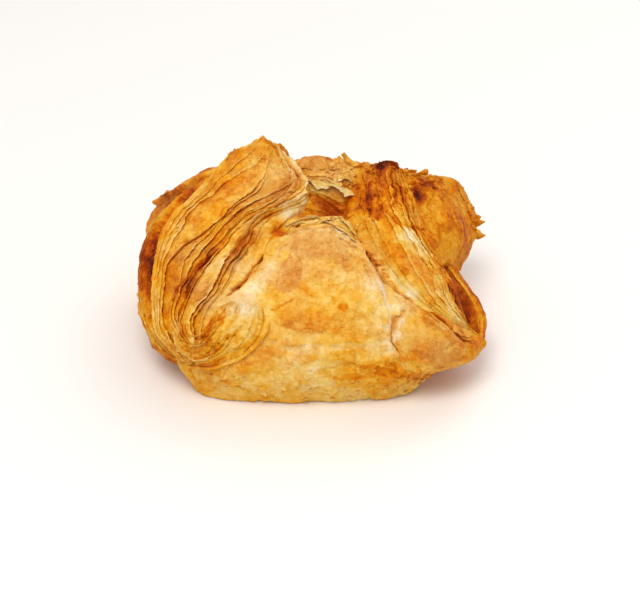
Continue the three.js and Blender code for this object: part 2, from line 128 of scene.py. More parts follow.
# Each fold is a skin through its rails, u along them and v across them. Its sheets end one after another
# across it. An edge is its rise over the next sheet, its overhang, the browning and fibre of the sheet that
# ends there, how many thin pages show below it, and its v at eleven even steps of u. A patch is u, v, their
# reaches, depth, browning, dull crust and softness.
FOLDS = {
    "left_flap": dict(
        rails=[
            LEFT_CREST,
            [(-15, 14, 60.2), (-17, 11, 57), (-26, 4, 48.5), (-32.5, -8, 42.5), (-37.5, -23, 34),
             (-36, -35, 23.5), (-36.5, -39, 13.5)],
            [(-14, 14, 60), (-12, 11, 56), (-14.5, 3, 49), (-20.5, -10, 44.5), (-26.5, -25, 37),
             (-26, -38.5, 26), (-36, -40, 13.5)],
            LEFT_SEAM,
            moved(LEFT_SEAM, (2.5, 1.5, -7)),
        ],
        edges=[
            (0.3, 0.3, -0.02, 0.15, 0, (0.10, 0.10, 0.10, 0.08, 0.05, 0.03, 0.015, 0.01, 0.01, 0.02, 0.03)),
            (0.5, 0.5, -0.04, 0.15, 0, (0.22, 0.21, 0.20, 0.15, 0.10, 0.065, 0.04, 0.03, 0.03, 0.045, 0.07)),
            (0.7, 0.7, -0.05, 0.15, 0, (0.45, 0.42, 0.36, 0.25, 0.15, 0.10, 0.065, 0.05, 0.05, 0.07, 0.11)),
            (1.5, 1.3, 0.05, 0.1, 0, (0.50, 0.48, 0.455, 0.455, 0.405, 0.33, 0.12, 0.08, 0.07, 0.09, 0.13)),
            (0.8, 0.8, 0.05, 0.3, 0, (0.52, 0.50, 0.475, 0.47, 0.42, 0.35, 0.24, 0.20, 0.135, 0.17, 0.20)),
            (1.3, 1.0, 0.02, 0.4, 0, (0.56, 0.58, 0.62, 0.665, 0.50, 0.405, 0.31, 0.23, 0.155, 0.20, 0.24)),
            (1.7, 1.2, 0.08, 0.4, 1, (0.60, 0.62, 0.66, 0.71, 0.61, 0.47, 0.385, 0.275, 0.175, 0.22, 0.28)),
            (1.2, 0.9, 0.10, 0.4, 0, (0.64, 0.66, 0.70, 0.75, 0.68, 0.52, 0.455, 0.33, 0.20, 0.25, 0.33)),
            (2.2, 1.5, -0.08, 0.15, 0, (0.68, 0.70, 0.74, 0.79, 0.73, 0.56, 0.52, 0.475, 0.265, 0.30, 0.40)),
            (2.0, 1.3, 0.08, 0.3, 0, (0.72, 0.74, 0.78, 0.83, 0.78, 0.60, 0.585, 0.50, 0.29, 0.33, 0.44)),
            (1.5, 1.0, -0.04, 0.4, 1, (0.76, 0.78, 0.82, 0.87, 0.83, 0.65, 0.625, 0.555, 0.36, 0.39, 0.50)),
            (1.9, 1.1, -0.12, 0.3, 0, (0.80, 0.82, 0.86, 0.91, 0.88, 0.78, 0.76, 0.78, 0.84, 0.88, 0.90)),
            (1, 0.6, -0.16, 0.6, 1, (0.83, 0.85, 0.89, 0.93, 0.91, 0.83, 0.82, 0.84, 0.89, 0.92, 0.93)),
            (0.7, 0.5, -0.12, 0.8, 1, (0.87, 0.89, 0.92, 0.95, 0.94, 0.88, 0.87, 0.89, 0.93, 0.95, 0.96)),
            (0.9, 0.5, -0.06, 0.8, 1, (0.91, 0.92, 0.95, 0.97, 0.96, 0.92, 0.92, 0.93, 0.96, 0.97, 0.98)),
        ],
        wander=0.5, thick=0.4, fibre=0.8, seed=3, bake=0.5,
    ),
    "left_side": dict(
        rails=[
            moved(LEFT_CREST, (1.5, 1, -2)),
            [(-17, 17, 56.5), (-28.5, 17.5, 47.4), (-41, 9, 39.5), (-46, -2, 31), (-47.5, -14, 22.5),
             (-45.5, -26, 15.5), (-38, -36, 11.6)],
            [(-18, 20, 52.5), (-32, 20, 42.8), (-47, 12, 33.5), (-52.6, 0, 25), (-52.4, -12, 18.5),
             (-48.6, -25, 13.5), (-39, -34.5, 10)],
            [(-20, 24, 45), (-38, 24, 30), (-46.6, 14, 18), (-49.4, 1, 11), (-49, -12, 8), (-45.4, -24, 6.5),
             (-35.5, -32.5, 6)],
            [(-20, 26, 30), (-36, 26, 14), (-41, 16, 3), (-41, 2, 1), (-41, -12, 1), (-39, -22, 2),
             (-33, -31, 3)],
        ],
        edges=[
            (0.7, 0.5, 0, 0.7, 1, (0.06, 0.05, 0.05, 0.05, 0.05, 0.05, 0.05, 0.05, 0.06, 0.07, 0.08)),
            (0.8, 0.5, 0.1, 0.5, 1, (0.14, 0.13, 0.11, 0.10, 0.10, 0.10, 0.11, 0.13, 0.16, 0.18, 0.20)),
            (0.5, 0.4, 0.1, 0.2, 0, (0.42, 0.41, 0.40, 0.39, 0.38, 0.38, 0.36, 0.34, 0.32, 0.32, 0.34)),
            (0.5, 0.4, -0.1, 0.7, 1, (0.48, 0.47, 0.46, 0.45, 0.44, 0.43, 0.42, 0.42, 0.42, 0.42, 0.44)),
            (0.7, 0.5, -0.05, 0.7, 1, (0.56, 0.55, 0.54, 0.53, 0.52, 0.52, 0.52, 0.52, 0.52, 0.52, 0.54)),
            (0.7, 0.5, 0.05, 0.7, 1, (0.68, 0.67, 0.66, 0.65, 0.64, 0.64, 0.63, 0.63, 0.63, 0.64, 0.65)),
            (0.6, 0.4, 0.05, 0.7, 1, (0.82, 0.80, 0.80, 0.80, 0.79, 0.79, 0.79, 0.79, 0.79, 0.80, 0.80)),
        ],
        patches=[(0.56, 0.25, 0.34, 0.14, 1.2, 0.16, -0.7, 0.3)],
        wander=0.5, thick=0.35, fibre=0.9, seed=11, bake=0.62, tuck=("last",),
    ),
    "right_flap": dict(
        rails=[
            RIGHT_VALLEY,
            [(24, 12, 52.5), (25.5, 5, 47), (28, -7, 43), (32.5, -16, 38), (38.5, -25, 32),
             (43.5, -28, 24.5), (49.5, -26.6, 15.2)],
            [(17, 16, 49.5), (19, 6, 46.5), (21, -8, 43.5), (25.5, -22, 40), (32, -31.5, 35),
             (40.5, -33.5, 27), (49.5, -26.8, 15.4)],
            [(10, 20, 49.5), (13, 9, 45), (13.4, -4, 41.2), (19.2, -20, 38.5), (26.6, -32, 34.9),
             (37.5, -36.2, 27.8), (49, -27, 15)],
        ],
        edges=[
            (1.3, 1.0, 0.10, 0.5, 1, (0.08, 0.08, 0.08, 0.07, 0.06, 0.05, 0.05, 0.06, 0.08, 0.09, 0.09)),
            (1.6, 1.2, 0.12, 0.4, 1, (0.16, 0.16, 0.16, 0.14, 0.12, 0.10, 0.11, 0.14, 0.16, 0.17, 0.17)),
            (1.5, 1.2, 0.08, 0.4, 0, (0.24, 0.24, 0.24, 0.22, 0.19, 0.15, 0.17, 0.23, 0.28, 0.28, 0.28)),
            (1.2, 1.0, -0.04, 0.3, 1, (0.32, 0.32, 0.32, 0.31, 0.27, 0.22, 0.27, 0.36, 0.42, 0.43, 0.42)),
            (0.9, 0.7, -0.10, 0.3, 0, (0.42, 0.42, 0.42, 0.40, 0.36, 0.32, 0.37, 0.46, 0.52, 0.53, 0.52)),
            (0.6, 0.5, -0.02, 0.3, 0, (0.58, 0.57, 0.56, 0.54, 0.52, 0.52, 0.56, 0.60, 0.64, 0.62, 0.60)),
            (0.5, 0.4, 0.03, 0.3, 1, (0.76, 0.75, 0.74, 0.74, 0.74, 0.72, 0.74, 0.76, 0.78, 0.76, 0.72)),
            (0.5, 0.4, 0, 0.4, 1, (0.88, 0.88, 0.88, 0.88, 0.88, 0.87, 0.87, 0.87, 0.87, 0.86, 0.84)),
        ],
        wander=0.5, thick=0.4, fibre=0.5, seed=23, bake=0.5,
    ),
    "right_shell": dict(
        rails=[
            [(35.5, -3, 22), (38.5, -8, 18.6), (41.7, -13, 15.4), (44.2, -18, 13.4), (46.2, -22, 12),
             (47.6, -26, 11.2)],
            [(40, -1, 28), (44.4, -3, 23.5), (48.1, -8, 20.3), (51.1, -14, 17.5), (52.3, -19, 15.1),
             (51.2, -26, 12.7)],
            [(42, 1, 20), (46.6, -2, 16.5), (50.4, -8, 13.2), (52.2, -14, 11.2), (52, -20, 10),
             (49.6, -26.5, 9.6)],
            [(38, 2, 6), (40, -4, 5), (42, -10, 4), (43, -16, 4), (42, -22, 4), (40, -28, 4)],
        ],
        edges=[
            (0.7, 0.4, 0.12, 0.6, 1, (0.12, 0.12, 0.12, 0.12, 0.12, 0.12, 0.12, 0.12, 0.12, 0.12, 0.12)),
            (0.7, 0.4, 0.08, 0.6, 0, (0.24, 0.24, 0.23, 0.22, 0.22, 0.22, 0.22, 0.23, 0.24, 0.24, 0.24)),
            (0.9, 0.6, -0.14, 0.4, 1, (0.35, 0.34, 0.33, 0.32, 0.31, 0.31, 0.31, 0.32, 0.33, 0.34, 0.34)),
            (0.4, 0.3, 0.04, 0.3, 0, (0.52, 0.50, 0.48, 0.47, 0.46, 0.46, 0.46, 0.47, 0.49, 0.50, 0.50)),
            (0.4, 0.3, 0.04, 0.3, 0, (0.72, 0.70, 0.68, 0.67, 0.66, 0.66, 0.66, 0.67, 0.68, 0.69, 0.70)),
        ],
        wander=0.4, thick=0.35, fibre=0.35, seed=31, bake=0.72, tuck=("last",),
    ),
    "front_ear": dict(
        rails=[
            [(20, -26, 35), (30, -34, 32.5), (38, -35.5, 27), (44.5, -32, 20.5), (50, -26.5, 15.5)],
            [(23, -38.5, 29), (31, -41, 24.5), (39, -41, 20), (46.5, -36.5, 16), (52.5, -27, 12.5)],
            [(25, -42.5, 16), (32, -42.5, 13.6), (39, -39.5, 11.8), (45, -34.5, 10.2), (51, -28, 9.6)],
            [(24, -38, 5), (30, -37, 5.2), (35, -34, 6), (39, -30, 6.4), (43, -26, 7)],
        ],
        edges=[
            (0.7, 0.4, 0, 0.2, 0, (0.03, 0.04, 0.04, 0.05, 0.05, 0.05, 0.06, 0.07, 0.08, 0.08, 0.06)),
            (0.4, 0.3, 0.1, 0.2, 0, (0.08, 0.10, 0.12, 0.13, 0.14, 0.16, 0.30, 0.34, 0.32, 0.28, 0.24)),
            (0.5, 0.3, 0, 0.2, 0, (0.66, 0.64, 0.62, 0.60, 0.58, 0.55, 0.52, 0.50, 0.48, 0.46, 0.44)),
            (0.5, 0.3, -0.1, 0.2, 0, (0.76, 0.74, 0.72, 0.70, 0.68, 0.66, 0.64, 0.60, 0.58, 0.56, 0.55)),
        ],
        wander=0.9, thick=0.25, fibre=0.2, seed=41, bake=0.53, tuck=("start",),
    ),
    "front_flap": dict(
        rails=[
            [(-17, -8, 37), (-10, -7.6, 40), (-4, -4, 41), (4.5, -3, 42), (10.5, -3, 41.5), (16, -7, 39)],
            [(-27, -20, 29.5), (-17, -20, 36.2), (-8, -19.5, 39.5), (4.5, -21, 42.3), (12, -21, 40.5),
             (23, -25, 35)],
            [(-30, -32, 23), (-20.5, -35.6, 28), (-12, -37, 30.2), (4, -38.5, 31.7), (19, -38, 31),
             (29, -35, 26)],
            [(-42.5, -36, 10.5), (-29, -40.6, 12.6), (-17, -44, 14.3), (3, -44.8, 15), (22, -43.5, 14.5),
             (39, -37, 8)],
            [(-39.5, -32, 0.6), (-28, -38.4, 0.5), (-17, -40.4, 0.4), (2, -40.2, 0.3), (20, -39.2, 0.4),
             (36.5, -35.5, 0.6)],
        ],
        edges=[
            (0.5, 0.4, -0.05, 0.2, 0, (0.03, 0.04, 0.05, 0.045, 0.04, 0.04, 0.04, 0.045, 0.05, 0.05, 0.04)),
            (0.5, 0.4, 0.02, 0.2, 0, (0.06, 0.08, 0.10, 0.09, 0.08, 0.075, 0.075, 0.09, 0.11, 0.11, 0.09)),
            (0.4, 0.3, -0.05, 0.2, 0, (0.11, 0.14, 0.17, 0.15, 0.13, 0.12, 0.12, 0.14, 0.18, 0.19, 0.16)),
        ],
        patches=[
            (0.63, 0.22, 0.23, 0.09, 0.35, 0.04, 0.6, 0.02),
            (0.45, 0.36, 0.05, 0.07, 0.35, 0.10, 0.6, 0.02),
            (0.34, 0.33, 0.06, 0.10, 0.30, -0.02, 0.3, 0.02),
            (0.73, 0.33, 0.03, 0.03, 0.20, 0.12, 0.2, 0.02),
            (0.87, 0.38, 0.03, 0.10, 0.30, 0.10, 0.1, 0.02),
            (0.93, 0.46, 0.05, 0.16, 0.20, -0.10, 0.6, 0.02),
            (0.67, 0.49, 0.018, 0.02, 0.20, 0.22, 0.0, 0.04),
            (0.69, 0.56, 0.20, 0.05, 0.20, 0.05, 0.2, 0.02),
            (0.42, 0.68, 0.17, 0.06, 0.20, 0.05, 0.4, 0.02),
            (0.56, 0.66, 0.08, 0.02, 0.20, -0.10, 0.3, 0.02),
            (0.68, 0.65, 0.05, 0.015, 0.20, -0.10, 0.3, 0.02),
            (0.70, 0.78, 0.12, 0.05, 0.25, 0.12, -0.4, 0.02),
            (0.87, 0.77, 0.10, 0.05, 0.25, 0.14, -0.5, 0.02),
            (0.97, 0.75, 0.02, 0.05, 0.30, 0.26, -0.5, 0.04),
        ],
        wander=1.3, thick=0.2, fibre=0.2, seed=53, bake=0.46, tuck=("start", "end"),
    ),
    "hollow": dict(
        rails=[
            [(-10, 9, 47.5), (-4, 10.5, 46.4), (2, 11, 46), (8, 10.5, 45.6), (14, 9, 45)],
            [(-9, 5.5, 45.5), (-4, 6.5, 44.8), (2, 7.5, 43), (8, 7.5, 41), (12.5, 6, 41)],
            [(-9, 1.5, 43), (-4, 2.5, 41.5), (2, 3.5, 39.5), (8, 3.5, 37), (12, 2.5, 38.5)],
            [(-9.5, -2.5, 41.5), (-4.5, -2, 39.8), (2, -1, 38), (8, -1, 36.5), (13, -1, 38.5)],
            [(-10, -6, 39.5), (-4, -5, 39.5), (4, -4.5, 39.8), (10, -4.5, 39.5), (14, -4, 39)],
        ],
        edges=[
            (0.8, 0.9, -0.3, 0.6, 1, (0.03, 0.04, 0.05, 0.08, 0.12, 0.14, 0.16, 0.20, 0.22, 0.20, 0.14)),
            (0.6, 0.6, -0.2, 0.6, 1, (0.10, 0.12, 0.14, 0.16, 0.18, 0.20, 0.24, 0.30, 0.32, 0.28, 0.22)),
            (0.4, 0.3, 0.02, 0.6, 1, (0.45, 0.44, 0.42, 0.42, 0.44, 0.46, 0.48, 0.50, 0.50, 0.46, 0.40)),
            (0.5, 0.3, 0.06, 0.6, 1, (0.70, 0.68, 0.66, 0.66, 0.66, 0.68, 0.70, 0.72, 0.72, 0.70, 0.68)),
        ],
        wander=0.8, thick=0.25, fibre=0.7, seed=47, bake=0.74,
    ),
    "lip": dict(
        rails=[
            [(-9, -13, 40.6), (-2, -11, 42.2), (5, -10.5, 42.6), (11, -11.5, 41.8), (15.5, -14, 40)],
            [(-8.6, -9.4, 40.8), (-3, -7.4, 41.6), (4, -6.6, 42.1), (10, -6.8, 41.8), (14.4, -9, 40.8)],
            [(-8, -7.4, 40.4), (-3, -5.2, 41.2), (3, -4, 41.7), (9, -3.8, 41.5), (13.4, -6, 41)],
            [(-7.4, -6, 38.8), (-3, -4, 39), (3, -2.6, 38.8), (9, -2.4, 38.6), (13, -4.4, 38.8)],
        ],
        edges=[
            (0.5, 0.4, 0, 0.4, 0, (0.20, 0.24, 0.28, 0.26, 0.22, 0.24, 0.28, 0.30, 0.34, 0.36, 0.36)),
            (0.4, 0.3, -0.06, 0.7, 1, (0.34, 0.40, 0.44, 0.42, 0.40, 0.39, 0.42, 0.45, 0.50, 0.50, 0.48)),
            (0.5, 0.4, 0.04, 0.7, 1, (0.46, 0.52, 0.55, 0.54, 0.52, 0.50, 0.52, 0.56, 0.58, 0.58, 0.56)),
            (0.4, 0.4, -0.08, 0.7, 1, (0.58, 0.62, 0.64, 0.63, 0.62, 0.61, 0.62, 0.64, 0.66, 0.66, 0.64)),
            (0.6, 0.6, 0.10, 0.8, 1, (0.70, 0.72, 0.73, 0.73, 0.73, 0.72, 0.73, 0.74, 0.75, 0.75, 0.74)),
        ],
        wander=0.4, thick=0.3, fibre=0.7, seed=59, bake=0.38, tuck=("first", "start", "end"),
    ),
    "papers": dict(
        rails=[
            [(-4, 15.6, 48.8), (3, 15.6, 48.8), (9, 14.6, 48.2), (15, 12.4, 47)],
            [(-3.5, 12.6, 47.8), (3.5, 12.2, 47.6), (9, 11.6, 47), (14.2, 10.4, 46)],
            [(-3, 10.8, 47), (4, 10.2, 46.4), (9, 9.4, 45.8), (13.8, 8.4, 45)],
            [(-3, 11, 46), (4, 10.4, 45.4), (9, 9.6, 44.8), (13.4, 8.6, 44)],
        ],
        edges=[
            (0.6, 0.8, 0.02, 0.5, 1, (0.14, 0.18, 0.22, 0.20, 0.17, 0.20, 0.26, 0.28, 0.24, 0.20, 0.18)),
            (0.6, 0.9, -0.04, 0.5, 1, (0.34, 0.36, 0.40, 0.38, 0.33, 0.36, 0.42, 0.44, 0.40, 0.36, 0.34)),
            (0.7, 1.2, -0.08, 0.6, 1, (0.52, 0.55, 0.58, 0.60, 0.56, 0.57, 0.60, 0.64, 0.62, 0.58, 0.55)),
            (0.7, 1.2, -0.10, 0.6, 1, (0.66, 0.68, 0.70, 0.73, 0.70, 0.68, 0.72, 0.76, 0.76, 0.72, 0.68)),
        ],
        wander=0.9, thick=0.2, fibre=0.5, seed=67, bake=0.46, unseen=1.0,
        tuck=("first", "start", "end"),
    ),
    "fan": dict(
        rails=[
            [(-25.7, -34, 31.5), (-27.6, -36, 28.8), (-29.6, -38.1, 26), (-32.6, -39.2, 22.2),
             (-35, -39, 19), (-37, -38.6, 16.4)],
            [(-22.6, -32.4, 32.4), (-22.6, -35.7, 29.8), (-23.8, -38.2, 26.6), (-26.8, -40.4, 22.5),
             (-30, -41, 18.7), (-34.2, -40.8, 16)],
            [(-18.5, -32.6, 32.6), (-17.9, -36.1, 30), (-18.4, -39.4, 26.9), (-22, -41.1, 21.6),
             (-26.8, -41.3, 17.9), (-33.4, -41, 14.2)],
            [(-14.4, -33.7, 32), (-13.1, -38, 29.5), (-13.3, -41.3, 26.6), (-16.6, -42.8, 21.9),
             (-21.9, -43.5, 17.5), (-29.6, -41.8, 13.3), (-35.4, -40.6, 12.8)],
        ],
        edges=[
            (0.7, 0.5, 0.16, 0.8, 1, (0.10, 0.11, 0.12, 0.13, 0.14, 0.15, 0.16, 0.17, 0.18, 0.18, 0.18)),
            (0.6, 0.5, 0.06, 0.7, 0, (0.22, 0.23, 0.24, 0.25, 0.26, 0.27, 0.28, 0.30, 0.30, 0.30, 0.30)),
            (0.9, 0.6, 0.10, 0.7, 1, (0.36, 0.36, 0.36, 0.37, 0.38, 0.40, 0.42, 0.44, 0.45, 0.46, 0.46)),
            (0.5, 0.4, 0, 0.5, 0, (0.50, 0.49, 0.48, 0.48, 0.49, 0.50, 0.52, 0.54, 0.56, 0.58, 0.58)),
            (0.5, 0.4, -0.02, 0.4, 0, (0.62, 0.62, 0.64, 0.68, 0.72, 0.74, 0.74, 0.72, 0.70, 0.70, 0.70)),
            (0.6, 0.5, 0, 0.5, 1, (0.76, 0.78, 0.80, 0.82, 0.84, 0.85, 0.85, 0.84, 0.82, 0.80, 0.80)),
            (0.8, 0.6, 0.12, 0.6, 1, (0.88, 0.90, 0.92, 0.93, 0.94, 0.94, 0.93, 0.92, 0.90, 0.90, 0.90)),
        ],
        wander=0.4, thick=0.25, fibre=0.5, seed=113, bake=0.44, tuck=("start",),
    ),
    "back_flap": dict(
        rails=[
            [(-6, 13.5, 47), (2, 13.5, 47.3), (7, 13, 47), (13.5, 11.5, 46)],
            [(-9, 20, 48), (0, 21, 49.5), (7, 20.5, 49), (16, 18, 47)],
            [(-20, 32, 38), (-6, 34, 39), (8, 34, 39), (22, 30, 37)],
            [(-36, 41, 17), (-12, 45.5, 17), (12, 45.5, 17), (34, 41, 17)],
            [(-30, 36, 0.6), (-10, 39, 0.4), (10, 39, 0.4), (30, 36, 0.6)],
        ],
        sheets=8, pages=0, rise=0.8, overhang=0.6, wander=1.6, thick=0.3, fibre=0.3, seed=61, bake=0.52,
        tuck=("start", "end"),
    ),
    "right_corner": dict(
        rails=[
            [(28.5, 18, 46.5), (31, 12, 42.5), (34.5, 0, 37.5), (38.5, -9, 30)],
            [(30, 20, 46), (38, 16, 41.5), (44.5, 7, 34), (43.5, -2, 25.5)],
            [(31.5, 22, 44), (46, 30, 36.5), (53.6, 29, 23), (49.8, 15, 19.4), (46.4, 4, 18.5)],
        ],
        sheets=10, pages=0, rise=0.7, overhang=0.5, wander=0.8, thick=0.3, fibre=0.5, seed=71, bake=0.64,
    ),
    "back_left_edges": dict(
        rails=[
            [(-14, 17, 58), (-24, 20, 49.5), (-40, 26, 38.8), (-50.5, 29, 30)],
            [(-9, 20, 54), (-19, 27, 47), (-36, 33, 37), (-47.5, 36, 24)],
            [(-7, 23, 49), (-14, 30, 43), (-28, 38, 32), (-38, 42, 17)],
        ],
        sheets=8, pages=1, rise=1.2, overhang=0.8, wander=1.2, thick=0.4, fibre=0.5, seed=83, bake=0.64,
    ),
    "back_right_edges": dict(
        rails=[
            [(27, 18, 48), (34, 23, 43), (43, 28, 35.5), (51, 31, 25)],
            [(21, 20, 48.5), (28, 27, 41), (38, 34, 32), (46, 38, 20)],
            [(15, 21, 48), (22, 30, 40), (31, 38, 30), (38, 42, 17)],
        ],
        sheets=8, pages=1, rise=1.2, overhang=0.8, wander=1.2, thick=0.4, fibre=0.5, seed=97, bake=0.6,
    ),
}

# Where the crust is browner or paler than its fold: place, reach in millimetres and change of browning. Those
# in the gaps and hollows marked below are painted shade.
TONES = [
    ((23.6, 12, 52.7), 3.2, 0.62),  # burnt top of the right flap
    ((22.0, 13, 51.5), 4.0, 0.20),
    ((35.0, 16.4, 43.0), 1.9, 0.42),  # burnt spots behind it
    ((37.4, 17.0, 41.8), 1.7, 0.36),
    ((32.0, 12.0, 42.2), 1.5, 0.36),
    ((33.0, 10.2, 41.4), 1.6, 0.42),
    ((18.7, 8.1, 47.1), 7.0, 0.22),  # brown upper half of the right flap
    ((16.5, 1.5, 44.8), 3.5, 0.26),
    ((25.4, 3.0, 46.4), 4.5, 0.24),
    ((25.5, -1.4, 45.5), 3.0, 0.10),
    ((14.0, 4.0, 44.0), 4.0, 0.18),
    ((44.9, 13.4, 35.4), 12.0, 0.12),  # face of the back right corner
    ((38.0, 7.0, 38.5), 6.0, -0.08),
    ((47.0, 6.0, 26.0), 5.0, -0.12),
    ((26.3, -20.5, 40.3), 6.0, 0.06),  # golden strip down the right flap
    ((33.1, -27.2, 35.9), 7.0, 0.02),
    ((28.2, -13.0, 41.8), 3.8, -0.26),  # cream ridges above it
    ((31.0, -12.0, 40.0), 3.0, -0.16),
    ((24.5, -24.0, 38.2), 4.0, 0.08),  # seam beside the front flap
    ((31.5, -14.5, 39.0), 2.5, 0.08),
    ((27.5, -34.5, 32.5), 5.0, -0.32),
    ((20.5, -30.5, 35.0), 5.0, -0.32),
    ((23.5, -39.5, 24.3), 5.0, -0.14),
    ((19.0, -30.0, 35.0), 6.0, -0.12),
    ((43.1, -19.1, 23.2), 4.0, 0.34),  # deep gap beside the shell, darkened as painted shade
    ((44.5, -16.0, 18.0), 6.0, 0.30),
    ((46.2, -26.0, 18.0), 3.0, 0.20),
    ((51.4, -17.1, 16.1), 8.0, 0.06),
    ((-14.8, -26.2, 35.1), 6.0, -0.04),  # pale left side of the front flap
    ((-11.0, -36.0, 29.5), 4.0, -0.04),
    ((-12.5, -22.5, 37.4), 2.2, -0.12),  # white end of the seam
    ((-14.8, -26.4, 35.3), 2.2, -0.16),
    ((-17.2, -29.2, 33.2), 2.4, -0.16),
    ((-10.2, -24.5, 37.0), 3.0, -0.10),
    ((-19.5, -34.5, 31.0), 4.5, -0.22),  # cream top of the fan of sheets
    ((-17.5, -39.5, 25.5), 4.0, -0.06),
    ((-27.0, -41.0, 17.5), 6.0, 0.08),
    ((14.5, -36.0, 31.5), 6.0, -0.12),
    ((2.0, -43.5, 17.0), 7.0, -0.10),  # pale fleck over the belly
    ((11.5, -43.5, 15.7), 8.0, 0.06),
    ((24.4, -42.8, 12.0), 8.0, 0.05),  # orange right end of the foot
    ((5.0, -44.5, 12.0), 14.0, -0.07),  # golden belly
    ((-14.0, -43.5, 11.0), 9.0, -0.07),
    ((33.0, -38.0, 6.0), 6.0, 0.08),
    ((46.0, -33.0, 18.0), 6.0, 0.06),  # tip of the front ear
    ((41.0, -38.5, 15.0), 6.0, 0.04),
    ((30.0, -40.5, 24.0), 4.0, -0.12),
    ((25.4, -33.4, 32.2), 3.4, -0.14),
    ((-50.9, -2.7, 26.9), 9.0, 0.28),  # deep orange hollow of the left side: well baked, and darker still as painted shade in the recess
    ((-48.8, -13.2, 22.5), 7.0, 0.22),
    ((-38.7, 22.0, 39.5), 9.0, -0.06),
    ((-44.7, 23.7, 33.2), 9.0, 0.18),  # back left corner
    ((-21.4, 1.8, 48.9), 8.0, 0.08),  # amber broad sheets of the left flap
    ((-31.0, 2.0, 46.5), 6.0, 0.08),
    ((-16.0, 12.0, 57.5), 4.0, 0.06),
    ((-24.0, 14.0, 54.5), 3.0, 0.08),
    ((-32.0, 8.0, 49.0), 6.0, -0.06),
    ((-10.0, 8.0, 52.0), 4.0, -0.10),
    ((-41.0, -18.0, 33.0), 8.0, 0.22),
    ((-31.0, -36.0, 22.0), 5.0, -0.04),
    ((-38.0, -30.0, 24.0), 7.0, 0.06),
    ((-28.0, -15.5, 42.0), 6.0, 0.10),
    ((-33.0, -26.0, 33.0), 5.0, 0.06),
    ((8.5, 1.0, 38.0), 6.0, 0.10),  # the hollow at the top, browner down in it as painted shade
    ((7.5, 7.0, 42.0), 4.5, 0.18),
    ((-1.0, 6.0, 42.5), 4.0, -0.20),
    # painted shadow in the slit beside the hollow
    ((-8.5, -8.5, 41.0), 2.5, 0.44),
    ((-3.0, 5.0, 43.0), 4.0, -0.10),
    ((7.4, 9.9, 46.2), 4.0, -0.14),  # papery sheets over it
    ((12.5, 8.0, 45.0), 2.6, 0.16),
    ((-7.0, -1.0, 43.8), 4.0, -0.22),  # pale ridge between the hollow and the left flap
    ((-2.5, 4.0, 45.5), 4.0, -0.10),
    ((7.7, -37.5, 32.1), 1.2, 0.24),  # flecks on the front flap
    ((14.5, -24.0, 39.5), 1.4, 0.18),
    ((-14.5, -24.5, 36.0), 1.1, 0.20),
]

# Where the crust shows dull tan sheets instead of its golden skin: place, reach and share.
MATTES = [
    ((-38.6, -15.5, 36.7), 6.0, 0.8),  # tan sheets of the left flap
    ((-19.2, 0.5, 47.3), 4.5, 0.8),
    ((-33, -15.2, 39.2), 3.0, 0.6),
    ((-31.9, -28.5, 32.8), 4.5, 0.8),
    ((-28.8, -32.5, 29.8), 4.0, 0.8),
    ((-50, -6, 25), 10.0, -0.7),  # glossy orange places
    ((50, -15, 16), 8.0, -0.6),
    ((45, 12, 34), 13.0, -0.7),
    ((23, 0, 46), 7.0, -0.4),
    ((0.5, -16, 41), 6.5, 0.9),  # peach patch at the top of the front flap
    ((8, -18, 41.6), 6.5, 0.8),
    ((-4.5, -26, 38), 3.5, 0.7),
    ((5, -28, 38), 8.0, 0.35),
    ((37, -39, 20), 8.0, 0.6),  # dome of the front ear
    ((-14, -26.5, 35), 3.5, 0.6),  # cream sides of the front flap
    ((19.5, -29, 35.6), 4.5, 0.9),
    ((28, -35, 32), 3.5, 0.8),
    ((26, -38, 27), 4.0, 0.7),
    ((-18, -34, 31.5), 4.0, 0.8),
    ((8, 13, 47), 4.5, 0.8),  # papery sheets over the hollow
    ((0, 20, 49), 12.0, 0.6),  # back flap
    ((-12, 0, 47), 6.0, 0.6),
    ((-8, 9, 51), 6.0, 0.5),
    ((-22, -24, 38), 7.0, 0.5),
    ((-45, 24, 33), 10.0, 0.7),  # back left corner
]

# Where the crust is creased more than elsewhere: place, reach and how many times more.
CREASES = [
    ((19, 6, 47), 8.0, 3.6),  # upper half of the right flap
    ((24, 2, 45.5), 6.0, 3.2),
    ((33, 12, 43), 6.0, 2.0),
    ((0, -43, 9), 16.0, 1.0),  # foot of the front flap
    ((26, -41, 10), 14.0, 1.3),
    ((4, 20, 48), 14.0, 0.8),
    ((27, -38, 27), 5.0, 1.6),  # crease beside the ear
    ((40, 12, 38), 10.0, 1.0),
]
